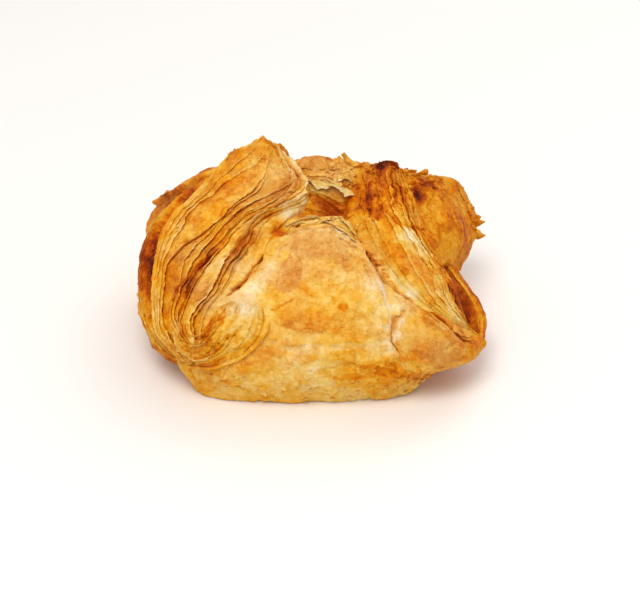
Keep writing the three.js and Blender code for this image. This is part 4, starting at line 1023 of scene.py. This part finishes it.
# Thin torn sheets that stand free: path, width, lean in degrees from lying to its right up to standing at 90,
# thickness and browning.
RIBBONS = [
    # torn paper over the hollow
    ([(-1, 11, 47), (3, 10.4, 46.8), (7, 9.9, 46.4)], 2.6, -18, 0.2, 0.28),
    ([(5, 10, 46.5), (8.4, 9.2, 46.2), (11.4, 8, 45.4), (13.4, 6.4, 44.6)], 3.0, -26, 0.2, 0.26),
    ([(8.6, 13, 48), (10.8, 12, 47.4), (12.8, 10.4, 46.6)], 2.2, -10, 0.2, 0.34),
    # pale slivers along the lip in front of the hollow
    ([(-8, -5.4, 40.4), (-2.5, -3.8, 41.5), (4, -2.8, 41.9), (9.6, -2.4, 41.8)], 1.7, 18, 0.25, 0.34),
    ([(-7.4, -10, 40.8), (-2.6, -6.8, 41.8), (2.6, -5.6, 42.2), (7, -5, 42.2)], 1.4, 30, 0.3, 0.46),
    ([(3, -5.4, 42.3), (7.4, -8.6, 42.4), (11.6, -12.4, 41.5), (13.6, -15, 40.4)], 2.2, 24, 0.25, 0.38),
    ([(9.4, -4, 42.6), (12, -8, 42), (13.6, -12, 41)], 1.8, 40, 0.25, 0.42),
    # spikes and crumbled edges of the back flap
    ([(16, 17, 47), (13.4, 17.6, 48.6), (11, 18.2, 50.4), (9.4, 18.6, 52.2)], 2.4, 40, 0.3, 0.58),
    ([(12, 16.5, 47.2), (14.2, 16.4, 48), (16.6, 15.6, 48.6)], 1.6, 60, 0.25, 0.68),
    # burnt knob
    ([(19.8, 13.4, 49.4), (21.8, 13.6, 50.8), (24.6, 12.8, 51.6), (27, 12.4, 50.6)], 1.6, 70, 0.5, 1.0),
    ([(20.8, 11.8, 49.8), (23.2, 11.6, 50.8), (26, 11.2, 50.8)], 1.5, 40, 0.45, 0.94),
    ([(28.2, 16.6, 45.4), (30.5, 17, 46.6), (32.6, 17.4, 46.4)], 1.6, 60, 0.3, 0.60),
    ([(31.4, 17.6, 44.6), (34, 18.4, 45.6), (36.4, 19.2, 44.8)], 1.6, 60, 0.3, 0.62),
    ([(33.4, 15.2, 43.2), (35.5, 15.6, 43.8), (38, 16.4, 43)], 1.5, 60, 0.35, 0.94),
    # torn right end of the back right corner
    ([(48, 26, 25), (51, 26.6, 23.6), (53.6, 26.6, 22)], 3.2, 62, 0.35, 0.70),
    ([(49, 24.4, 22), (51.6, 25, 20.4), (53.6, 24.6, 18.2)], 2.8, 58, 0.35, 0.66),
    # rim of the shell beside the gap
    ([(42, -3.6, 25), (45.4, -7, 21.6), (48.6, -12, 18.6), (50.4, -17, 16.2), (50.6, -22, 14.2)],
     1.2, 120, 0.35, 0.56),
    # rolled sheets under the left side
    ([(-51.6, -7, 20), (-51.4, -12, 17.2), (-49.6, -19, 14.6), (-46.6, -26, 12)], 1.6, 70, 0.35, 0.62),
    ([(-50.6, -14, 19.4), (-48.8, -21, 16.2), (-45, -28, 13), (-40.4, -33.6, 11)], 1.5, 80, 0.35, 0.66),
    # turned ends of the sheets at the front left corner
    ([(-40, -29.5, 25), (-39.8, -33, 21.4), (-38, -36.6, 17.6), (-34.8, -39.2, 16.4), (-31.4, -40, 17),
      (-28.6, -39.6, 19.6), (-25.6, -38.8, 24)], 1.7, 45, 0.35, 0.48),
    ([(-38, -31.2, 25.6), (-37.4, -34.6, 21.8), (-35.2, -37.6, 19.4), (-32, -39.2, 19.6),
      (-29.2, -38.8, 22.6), (-26.8, -37.4, 26.8)], 1.5, 60, 0.3, 0.64),
    ([(-36.4, -32.4, 26), (-35.4, -36, 22.4), (-32.8, -38, 21.6), (-30, -37.6, 25)], 1.4, 70, 0.3, 0.74),
]


def ribbon_sheet(path, width, lean, lane):
    """A ribbon's middle surface as rows along it by columns across it: its points, the way that it faces, and
    how far along and across it each point lies."""
    path = np.array(path, float)
    length = np.linalg.norm(np.diff(path, axis=0), axis=1).sum()
    rows, columns = max(8, int(length / RIBBON_STEP)), max(5, int(width / RIBBON_STEP))
    s, t = np.linspace(0, 1, rows), np.linspace(0, 1, columns)
    mm = s * length
    line = spline(path, s)
    along = unit(np.gradient(line, axis=0))
    outward = unit(line - HEART)
    side = unit(np.cross(along, outward))
    torn = 1 + 0.35 * noise_1d(mm, lane, 2.6, 61) + 0.25 * noise_1d(mm, lane, 0.9, 62)
    taper = np.minimum(1, 5 * np.minimum(s, 1 - s) + 0.12)
    tilt = np.radians(lean + 22 * noise_1d(mm, lane, 5, 63))[:, None, None]
    curl = tilt + (0.9 * noise_1d(mm, lane, 4, 64) + 0.3)[:, None, None] * t[:, None]
    away = np.cos(curl) * side[:, None] + np.sin(curl) * outward[:, None]
    reach = (width * torn * taper)[:, None] * (t * 1.25 - 0.25)
    face = unit(np.cross(away, along[:, None]))
    sheet = line[:, None] + away * reach[..., None]
    sheet = sheet + face * (0.22 * fbm(sheet, 2.6, 2, 65))[..., None]
    return sheet, face, t, np.stack([mm[:, None] + 0 * t, reach, 0 * reach + lane], axis=-1)


def build_ribbons(name, ribbons, settings, material):
    """Thin closed shells along their paths, thinner and paler towards their torn free side."""
    points, faces, table = [], [], {key: [] for key in ("bake", "matte", "lip", "dark", "fibre", "lay")}
    base = 0
    for number, (path, width, lean, thick, bake) in enumerate(ribbons):
        sheet, face, t, lay = ribbon_sheet(path, width, lean, number)
        half = 0.5 * thick * (1 - 0.6 * t)[None, :, None]
        both = np.stack([sheet + face * half, sheet - face * half])
        rows, columns = sheet.shape[:2]
        count = rows * columns
        quads = grid_faces(rows, columns)
        rims = [np.stack([a, b, b + count, a + count], axis=-1) for a, b in grid_sides(rows, columns)]
        points.append(both.reshape(-1, 3))
        faces += (np.concatenate([quads, quads[:, ::-1] + count, *rims]) + base).tolist()
        base += 2 * count
        ones = np.ones((2, rows, columns))
        table["bake"].append(bake + settings.browning + 0.10 * fbm(both, 3, 2, 66) - 0.06 * t * ones)
        table["matte"].append(0.2 * ones)
        # a ribbon's torn free side counts as a lip, paler both as thin dough and as a painted highlight; its
        # root along the crust gets painted shade
        table["lip"].append(np.clip(2.5 * t - 1.5, 0, 1) * ones)
        table["dark"].append(np.clip(0.8 - 4 * t, 0, 1) * ones)
        table["fibre"].append(ones)
        table["lay"].append(np.stack([lay, lay]))
    table = {key: np.concatenate([v.reshape(-1, *v.shape[3:]) for v in each]) for key, each in table.items()}
    return finish_piece(make_mesh(name, np.concatenate(points), faces, table), material)


# ---- Loose flakes ------------------------------------------------------------------------------------------

FIRM = 0.12  # crust that is no looser than this sheds nothing

# Folds that shed flakes, and where they are loose: place, reach and share of the full density.
SHEDDING = [
    "back_flap", "right_flap", "right_corner", "left_flap", "front_flap", "front_ear", "lip", "papers", "fan",
    "back_left_edges", "back_right_edges", "left_side",
]
LOOSE = [
    ((10, 18, 48.5), 4.0, 0.7),  # back flap and its crumbled edge
    ((12, 17, 48.5), 5.0, 1.0),
    ((0, 40, 20), 18.0, 0.25),
    ((21, 13, 50.5), 4.0, 0.9),  # top of the right flap
    ((30, 16, 45.5), 4.0, 0.9),
    ((37, 18, 42), 6.0, 0.5),  # back right corner
    ((52, 26, 24), 6.0, 0.8),
    ((4, -6, 42), 5.0, 0.7),  # round the hollow
    ((10, -8, 41.5), 5.0, 1.0),
    ((9, 10, 45.5), 4.0, 0.9),
    ((-26, 12, 52), 8.0, 0.25),  # left crest
    ((-46, -8, 36), 9.0, 0.3),
    ((-48, 24, 30), 7.0, 0.5),
    ((-26, -41, 12), 6.0, 0.6),  # foot
    ((-8, -42, 7), 10.0, 0.35),
    ((12, -42, 6), 10.0, 0.35),
    ((30, -38, 8), 9.0, 0.6),
]


def loose_skin():
    """A mesh of the crust where it is loose, with the attributes of the folds and how loose it is."""
    points, faces, table = [], [], {}
    base = 0
    for name in SHEDDING:
        mesh = bpy.data.objects[name].data
        place = np.empty(len(mesh.vertices) * 3, np.float32)
        mesh.vertices.foreach_get("co", place)
        place = place.reshape(-1, 3)
        loose = near(place / MM + BOX_MIDDLE, LOOSE) * (place[:, 2] > FLAKE_GAP * MM)
        corners, totals = np.empty(len(mesh.loops), np.int32), np.empty(len(mesh.polygons), np.int32)
        mesh.loops.foreach_get("vertex_index", corners)
        mesh.polygons.foreach_get("loop_total", totals)
        starts = np.cumsum(totals) - totals
        quads = corners[starts[totals == 4][:, None] + np.arange(4)]
        quads = quads[loose[quads].min(axis=1) > FIRM]
        kept, quads = np.unique(quads, return_inverse=True)
        points.append(place[kept])
        faces += (quads.reshape(-1, 4) + base).tolist()
        base += len(kept)
        table.setdefault("loose", []).append(loose[kept])
        for key in ("bake", "matte", "lip", "dark", "fibre"):
            values = np.empty(len(place), np.float32)
            mesh.attributes[key].data.foreach_get("value", values)
            table.setdefault(key, []).append(values[kept])
    skin = bpy.data.meshes.new("loose skin")
    skin.from_pydata(np.concatenate(points), [], faces)
    for key, values in table.items():
        skin.attributes.new(key, "FLOAT", "POINT").data.foreach_set("value", np.concatenate(values))
    return skin


def flake_tree():
    """Nodes that scatter thin curled flakes over a skin, more of them where it is loose."""
    tree = bpy.data.node_groups.new("flakes", "GeometryNodeTree")

    def node(kind, settings, inputs, output=0):
        """Adds a node, its settings first, then the values or links of its sockets, and gives one output."""
        made = tree.nodes.new(kind)
        for key, setting in settings.items():
            setattr(made, key, setting)
        for key, value in inputs.items():
            if isinstance(value, bpy.types.NodeSocket):
                tree.links.new(value, made.inputs[key])
            else:
                made.inputs[key].default_value = value
        return made.outputs[output] if made.outputs else None

    def vector(operation, a, b):
        return node("ShaderNodeVectorMath", {"operation": operation}, {0: a, 1: b})

    def attribute(name):
        return node("GeometryNodeInputNamedAttribute", {"data_type": "FLOAT"}, {"Name": name})

    def random(kind, low, high, seed):
        """A random value for each flake; the sockets of vectors come before those of numbers."""
        first = {"FLOAT_VECTOR": 0, "FLOAT": 2}[kind]
        inputs = {first: low, first + 1: high, "Seed": seed}
        return node("FunctionNodeRandomValue", {"data_type": kind}, inputs, first // 2)

    socket = tree.interface.new_socket
    socket("Skin", in_out="INPUT", socket_type="NodeSocketGeometry")
    socket("Flakes per square metre", in_out="INPUT", socket_type="NodeSocketFloat")
    socket("Length", in_out="INPUT", socket_type="NodeSocketFloat")
    socket("Seed", in_out="INPUT", socket_type="NodeSocketInt")
    socket("Crust", in_out="INPUT", socket_type="NodeSocketMaterial")
    socket("Flakes", in_out="OUTPUT", socket_type="NodeSocketGeometry")
    given = tree.nodes.new("NodeGroupInput").outputs

    # points over the loose crust, each with a browning of its own
    density = node("ShaderNodeMath", {"operation": "MULTIPLY"}, {0: attribute("loose"), 1: given[1]})
    scatter = tree.nodes.new("GeometryNodeDistributePointsOnFaces")
    for key, value in {"Mesh": given[0], "Density": density, "Seed": given["Seed"]}.items():
        tree.links.new(value, scatter.inputs[key])
    change = random("FLOAT", -0.16, 0.10, 3)
    bake = node("ShaderNodeMath", {"operation": "ADD"}, {0: attribute("bake"), 1: change})
    stored = {"Geometry": scatter.outputs["Points"], "Name": "bake", "Value": bake}
    spots = node("GeometryNodeStoreNamedAttribute", {"data_type": "FLOAT"}, stored)

    # each flake turned about the skin's normal and tipped a little off it, and its size
    turn = random("FLOAT_VECTOR", (-0.35, -0.35, 0), (0.35, 0.35, 6.28), 1)
    turn = {0: scatter.outputs["Rotation"], 1: node("FunctionNodeEulerToRotation", {}, {0: turn})}
    turned = node("FunctionNodeRotateRotation", {"rotation_space": "LOCAL"}, turn)
    size = {0: random("FLOAT_VECTOR", (0.5, 0.4, 0.7), (1.3, 1.0, 1.2), 2), "Scale": given["Length"]}
    size = node("ShaderNodeVectorMath", {"operation": "SCALE"}, size)

    # one thin flake with a torn outline, its ends curled up
    sheet = {"Size": (1, 1, 0.1), "Vertices X": 5, "Vertices Y": 4, "Vertices Z": 2}
    place = node("GeometryNodeInputPosition", {}, {})
    torn = node("ShaderNodeTexNoise", {}, {"Vector": place, "Scale": 3.0, "Detail": 2.0}, "Color")
    torn = vector("MULTIPLY", vector("SUBTRACT", torn, (0.5, 0.5, 0.5)), (0.8, 0.8, 0.3))
    curl = vector("MULTIPLY", vector("MULTIPLY", place, place), (0.5, 0, 0))
    curl = node("ShaderNodeCombineXYZ", {}, {2: node("ShaderNodeSeparateXYZ", {}, {0: curl})})
    bent = {"Geometry": node("GeometryNodeMeshCube", {}, sheet), "Offset": vector("ADD", torn, curl)}
    flake = node("GeometryNodeSetPosition", {}, bent)

    spread = {"Points": spots, "Instance": flake, "Rotation": turned, "Scale": size}
    flakes = node("GeometryNodeInstanceOnPoints", {}, spread)
    solid = node("GeometryNodeRealizeInstances", {}, {0: flakes})
    finished = node("GeometryNodeSetMaterial", {}, {"Geometry": solid, "Material": given["Crust"]})
    node("NodeGroupOutput", {}, {0: finished})
    return tree


def build_flakes(settings, material):
    """Flakes scattered over the loose crust, as one plain mesh."""
    host = bpy.data.objects.new("loose skin", loose_skin())
    bpy.context.scene.collection.objects.link(host)
    modifier = host.modifiers.new("flakes", "NODES")
    modifier.node_group = flake_tree()
    values = {
        "Flakes per square metre": settings.density,
        "Length": settings.length,
        "Seed": settings.seed,
        "Crust": material,
    }
    for item in modifier.node_group.interface.items_tree:
        if item.name in values:
            modifier[item.identifier] = values[item.name]
    depsgraph = bpy.context.evaluated_depsgraph_get()
    mesh = bpy.data.meshes.new_from_object(
        host.evaluated_get(depsgraph), preserve_all_data_layers=True, depsgraph=depsgraph
    )
    bpy.data.objects.remove(host)
    mesh.name = "flakes"
    mesh.attributes.remove(mesh.attributes["loose"])
    piece = bpy.data.objects.new("flakes", mesh)
    bpy.context.scene.collection.objects.link(piece)
    if not mesh.polygons:
        raise RuntimeError("no flakes were scattered")
    return finish_piece(piece, material)


# ---- Materials ---------------------------------------------------------------------------------------------


class Value:
    """A shader socket that takes part in arithmetic: each operator adds a Math node."""

    def __init__(self, shade, socket):
        self.shade = shade
        self.socket = socket

    def math(self, operation, *others):
        return self.shade.node("Math", {"operation": operation}, dict(enumerate((self, *others))))

    def __add__(self, other):
        return self.math("ADD", other)

    __radd__ = __add__

    def __mul__(self, other):
        return self.math("MULTIPLY", other)

    def __sub__(self, other):
        return self.math("SUBTRACT", other)

    def absolute(self):
        return self.math("ABSOLUTE")

    def clamped(self):
        return self.shade.node("Clamp", {}, {"Value": self})

    def step(self, low, high):
        """0 below low, 1 above high and an even slope between."""
        inputs = {"Value": self, "From Min": low, "From Max": high}
        return self.shade.node("MapRange", {"interpolation_type": "SMOOTHSTEP"}, inputs)


class Shade:
    """The node tree of one material."""

    def __init__(self, name):
        self.material = bpy.data.materials.new(name)
        self.material.use_nodes = True
        self.tree = self.material.node_tree
        self.tree.nodes.clear()

    def node(self, kind, settings, inputs, output=0):
        """Adds a shader node: its settings first, then the values or links of its sockets."""
        made = self.tree.nodes.new("ShaderNode" + kind)
        for key, setting in settings.items():
            if key == "stops":
                self.set_stops(made.color_ramp, setting)
            else:
                setattr(made, key, setting)
        for key, value in inputs.items():
            self.plug(value, made.inputs[key])
        return Value(self, made.outputs[output]) if made.outputs else None

    def plug(self, value, socket):
        """Links another node's value to a socket, or sets it to a plain one."""
        if isinstance(value, Value):
            self.tree.links.new(value.socket, socket)
        else:
            socket.default_value = value

    @staticmethod
    def set_stops(ramp, stops):
        """Gives a ramp its colours; it starts with one at each end."""
        for place, color in stops[1:-1]:
            ramp.elements.new(place).color = (*color, 1)
        ramp.elements[0].color = (*stops[0][1], 1)
        ramp.elements[-1].color = (*stops[-1][1], 1)

    def attribute(self, name, output="Fac"):
        return self.node("Attribute", {"attribute_name": name}, {}, output)

    def mix(self, factor, a, b):
        """Two colours mixed by a factor; a Mix node takes colours at 6 and 7 and gives one at 2."""
        return self.node("Mix", {"data_type": "RGBA"}, {0: factor, 6: a, 7: b}, 2)


def linear(*rgb):
    """An 8-bit screen colour as the linear light that a shader takes."""
    return tuple(c / 255 / 12.92 if c <= 10 else ((c / 255 + 0.055) / 1.055) ** 2.4 for c in rgb)


# Colours of the crust from raw dough to burnt: place on the ramp and screen colour.
GOLDEN_SKIN = [
    (0.0, (250, 234, 200)),
    (0.15, (248, 216, 140)),
    (0.29, (244, 196, 92)),
    (0.41, (238, 174, 48)),
    (0.53, (230, 142, 4)),
    (0.65, (209, 104, 0)),
    (0.80, (166, 62, 0)),
    (1.0, (78, 24, 12)),
]
DULL_SHEETS = [(0.0, (250, 232, 200)), (0.4, (234, 184, 112)), (0.7, (208, 134, 54)), (1.0, (112, 50, 18))]


def crust_noise(s, vector, scale, detail, roughness):
    """Noise over the crust; the scale is in features to the vector's unit."""
    inputs = {"Vector": vector, "Scale": scale, "Detail": detail, "Roughness": roughness}
    return s.node("TexNoise", {}, inputs)


def strands(s, lay, scale, detail):
    """Noise drawn out along the sheets, in features to a millimetre along, across and between sheets."""
    stretched = s.node("VectorMath", {"operation": "MULTIPLY"}, {0: lay, 1: scale})
    return crust_noise(s, stretched, 1.0, detail, 0.62)


def thread(pattern, width):
    """Thin lines where a pattern crosses its middle value."""
    return (pattern - 0.5).absolute().step(width, 0.0)


def baked_color(s, stops, bake):
    """The colour that a ramp of screen colours gives to the browning."""
    return s.node("ValToRGB", {"stops": [(place, linear(*rgb)) for place, rgb in stops]}, {"Fac": bake})


def crust_material():
    """Baked puff pastry, from raw dough to burnt by the browning that each piece carries, which also holds
    painted shade in gaps, cracks and under sheets.
    """
    s = Shade("baked crust")
    place = s.node("TexCoord", {}, {}, "Object")
    lay = s.attribute("lay", "Vector")
    lip, dark, matte, fibre = (s.attribute(name) for name in ("lip", "dark", "matte", "fibre"))

    # layers that run along the sheets, mottling, and skins that have peeled or been shed
    wide = strands(s, lay, (0.12, 1.2, 1.0), 3.0)
    thin = strands(s, lay, (0.20, 3.2, 1.0), 4.0)
    mottle = crust_noise(s, place, 280.0, 6.0, 0.62)
    fine = crust_noise(s, place, 2200.0, 3.0, 0.6)
    peel = crust_noise(s, place, 430.0, 5.0, 0.68)
    peeled = peel.step(0.49, 0.51)
    shed = peel.step(0.60, 0.61)

    # dark lines: creases anywhere, seams and hair-thin cracks along the layers
    crease = thread(crust_noise(s, place, 170.0, 4.0, 0.6), 0.010) * mottle.step(0.42, 0.56)
    seam = thread(wide, 0.035) * fibre
    hair = thread(thin, 0.04) * fibre

    bake = s.attribute("bake") + (mottle - 0.5) * 0.16 + (fine - 0.5) * 0.15 + (peeled - 0.5) * 0.09
    bake = bake - shed * 0.07 + (wide - 0.5) * fibre * 0.36 + (thin - 0.5) * fibre * 0.20
    # lips are paler, partly as the thin dough's own colour and partly as a painted highlight on the rims; the
    # painted shade under sheets bakes darker
    bake = bake + crease * 0.12 + seam * 0.10 + hair * 0.06 - lip * 0.12 + dark * 0.10
    color = s.mix(matte * 0.75, baked_color(s, GOLDEN_SKIN, bake * 0.85), baked_color(s, DULL_SHEETS, bake))
    rough = (0.58 + matte * 0.14 + (fine - 0.5) * 0.3 + (peeled - 0.5) * 0.1).clamped()
    height = mottle * 0.4 + fine * 0.2 + peeled * 0.3 - shed * 0.3 + (wide * 0.6 + thin * 0.4) * fibre
    height = height - crease * 0.5 - seam * 0.5 - hair * 0.25
    bump = s.node("Bump", {}, {"Height": height, "Strength": 0.7, "Distance": 0.4 * MM})
    inputs = {
        "Base Color": color,
        "Roughness": rough,
        "Normal": bump,
        "Subsurface Weight": 0.10,
        "Subsurface Radius": (1.0, 0.45, 0.12),
        "Subsurface Scale": MM,
        "Coat Weight": 0.02,
        "Coat Roughness": 0.4,
        "Specular IOR Level": 0.08,
    }
    shader = s.node("BsdfPrincipled", {}, inputs)
    s.node("OutputMaterial", {}, {"Surface": shader})
    return s.material


def plain_material(name, color, roughness):
    """One even colour."""
    s = Shade(name)
    shader = s.node("BsdfPrincipled", {}, {"Base Color": (*color, 1), "Roughness": roughness})
    s.node("OutputMaterial", {}, {"Surface": shader})
    return s.material


def crust():
    """The one crust material, made on first use."""
    return bpy.data.materials.get("baked crust") or crust_material()


# ---- Settings ----------------------------------------------------------------------------------------------


class PastrySettings(PropertyGroup):
    """How the crust is baked."""

    browning: FloatProperty(
        name="Browning",
        description="Bakes the whole crust paler or browner",
        default=0.0,
        min=-0.4,
        max=0.4,
        subtype="FACTOR",
    )


class FlakeSettings(PropertyGroup):
    """How many loose flakes there are, how long and where."""

    density: FloatProperty(
        name="Density",
        description="Flakes on a square metre of fully loose crust",
        default=260000.0,
        min=0,
    )
    length: FloatProperty(
        name="Length",
        description="Length of a flake",
        default=0.0017,
        min=0.0005,
        max=0.005,
        subtype="DISTANCE",
        unit="LENGTH",
    )
    seed: IntProperty(
        name="Seed",
        description="Picks where the flakes lie",
        default=5,
        min=0,
    )


class StageSettings(PropertyGroup):
    """The table and the light that the pastry is shown in."""

    floor_color: FloatVectorProperty(
        name="Floor colour",
        description="Colour of the pale table",
        default=(0.92, 0.90, 0.875),
        size=3,
        subtype="COLOR",
        min=0,
        max=1,
    )
    light: FloatProperty(
        name="Light",
        description="Strength of the soft studio light",
        default=1.0,
        min=0,
        soft_max=3,
        subtype="FACTOR",
    )


# ---- Stage -------------------------------------------------------------------------------------------------

TABLE_HALF = 3.0  # half the table's side, in metres
TABLE_DROP = 0.2 * MM  # the table lies this far under the sole, so that the two don't flicker
AIM = Vector((0, 0, 0.025))  # where the lights point: the middle of the pastry, in metres

# Softboxes: name, place and side in metres, power in watts and colour.
LIGHTS = [
    ("key", (-0.12, -0.38, 0.8), 0.45, 4.15, (1.0, 0.98, 0.95)),
    ("back", (0.35, 0.55, 0.6), 0.5, 1.6, (1, 1, 1)),
]
SKY_COLOR = (1.0, 0.985, 0.96, 1)
SKY_STRENGTH = 0.645

CAMERA_TARGET = Vector((2.8, 0, 10.9))  # in drawn millimetres
CAMERA_ELEVATION = math.radians(32)
CAMERA_DISTANCE = 600 * MM
CAMERA_LENS = 108  # millimetres, on a film 36 mm wide


def set_floor(settings):
    """The pale table, as stage and not as part of the pastry."""
    mesh = bpy.data.meshes.new("table")
    corners = [(x * TABLE_HALF, y * TABLE_HALF, 0) for x, y in ((-1, -1), (1, -1), (1, 1), (-1, 1))]
    mesh.from_pydata(corners, [], [(0, 1, 2, 3)])
    floor = bpy.data.objects.new("table", mesh)
    floor.location.z = -TABLE_DROP
    bpy.context.scene.collection.objects.link(floor)
    mesh.materials.append(plain_material("table", settings.floor_color, 0.5))


def softbox(name, place, side, power, color):
    """A square light that faces the middle of the pastry."""
    light = bpy.data.lights.new(name, "AREA")
    light.size = side
    light.energy = power
    light.color = color
    holder = bpy.data.objects.new(name, light)
    holder.location = place
    holder.rotation_euler = (AIM - holder.location).to_track_quat("-Z", "Y").to_euler()
    bpy.context.scene.collection.objects.link(holder)


def set_lights(settings):
    """Soft light from a pale sky and two softboxes."""
    world = bpy.data.worlds.new("studio")
    world.use_nodes = True
    background = world.node_tree.nodes["Background"]
    background.inputs["Color"].default_value = SKY_COLOR
    background.inputs["Strength"].default_value = SKY_STRENGTH * settings.light
    bpy.context.scene.world = world
    for name, place, side, power, color in LIGHTS:
        softbox(name, place, side, power * settings.light, color)
    bpy.context.scene.view_settings.view_transform = "Standard"


def set_camera():
    """A camera in front of the pastry that looks down on it."""
    away = Vector((0, -math.cos(CAMERA_ELEVATION), math.sin(CAMERA_ELEVATION)))
    camera = bpy.data.objects.new("camera", bpy.data.cameras.new("camera"))
    camera.data.sensor_width = 36
    camera.data.lens = CAMERA_LENS
    camera.data.clip_start = 0.01
    camera.location = (CAMERA_TARGET - Vector(BOX_MIDDLE)) * MM + away * CAMERA_DISTANCE
    camera.rotation_euler = (math.pi / 2 - CAMERA_ELEVATION, 0, 0)
    bpy.context.scene.collection.objects.link(camera)
    bpy.context.scene.camera = camera


# ---- Operators ---------------------------------------------------------------------------------------------


class PASTRY_OT_parcel(Operator):
    """Makes the parcel under the flaps, with its puffed corners"""

    bl_idname = "pastry.parcel"
    bl_label = "Parcel"

    def execute(self, context):
        settings = context.scene.pastry
        build_parcel(settings, crust())
        for name, middle, radii, turn in PUFFS:
            build_puff(name, middle, radii, turn, settings, crust())
        return {"FINISHED"}


class PASTRY_OT_folds(Operator):
    """Makes every fold of the dough with the sheets that show along it"""

    bl_idname = "pastry.folds"
    bl_label = "Folds"

    def execute(self, context):
        for name, fold in FOLDS.items():
            build_fold(name, fold, context.scene.pastry, crust())
        return {"FINISHED"}


class PASTRY_OT_ribbons(Operator):
    """Makes the thin torn sheets that stand free of the folds"""

    bl_idname = "pastry.ribbons"
    bl_label = "Ribbons"

    def execute(self, context):
        build_ribbons("ribbons", RIBBONS, context.scene.pastry, crust())
        return {"FINISHED"}


class PASTRY_OT_flakes(Operator):
    """Scatters small loose flakes over the broken crust of the folds"""

    bl_idname = "pastry.flakes"
    bl_label = "Flakes"

    def execute(self, context):
        build_flakes(context.scene.pastry_flakes, crust())
        return {"FINISHED"}


class PASTRY_OT_stage(Operator):
    """Sets the pale table, the soft lights and the camera"""

    bl_idname = "pastry.stage"
    bl_label = "Stage"

    def execute(self, context):
        settings = context.scene.pastry_stage
        set_floor(settings)
        set_lights(settings)
        set_camera()
        return {"FINISHED"}


class PASTRY_PT_panel(Panel):
    """Lists the settings and the steps in the order in which they run"""

    bl_label = "Puff pastry turnover"
    bl_idname = "PASTRY_PT_panel"
    bl_space_type = "VIEW_3D"
    bl_region_type = "UI"
    bl_category = "Pastry"

    def draw(self, context):
        layout = self.layout
        layout.prop(context.scene.pastry, "browning")
        for key in ("density", "length", "seed"):
            layout.prop(context.scene.pastry_flakes, key)
        layout.prop(context.scene.pastry_stage, "floor_color")
        layout.prop(context.scene.pastry_stage, "light")
        for operator in OPERATORS:
            layout.operator(operator.bl_idname)


OPERATORS = [PASTRY_OT_parcel, PASTRY_OT_folds, PASTRY_OT_ribbons, PASTRY_OT_flakes, PASTRY_OT_stage]
CLASSES = [PastrySettings, FlakeSettings, StageSettings, *OPERATORS, PASTRY_PT_panel]


def register():
    """Registers the classes and hangs their settings on the scene."""
    for cls in CLASSES:
        bpy.utils.register_class(cls)
    bpy.types.Scene.pastry = PointerProperty(type=PastrySettings)
    bpy.types.Scene.pastry_flakes = PointerProperty(type=FlakeSettings)
    bpy.types.Scene.pastry_stage = PointerProperty(type=StageSettings)


def unregister():
    """Takes away all that register added."""
    del bpy.types.Scene.pastry_stage
    del bpy.types.Scene.pastry_flakes
    del bpy.types.Scene.pastry
    for cls in reversed(CLASSES):
        bpy.utils.unregister_class(cls)


def main():
    """Bakes the pastry on its stage."""
    register()
    bpy.ops.pastry.stage()
    bpy.ops.pastry.parcel()
    bpy.ops.pastry.folds()
    bpy.ops.pastry.ribbons()
    bpy.ops.pastry.flakes()


if __name__ == "__main__":
    main()
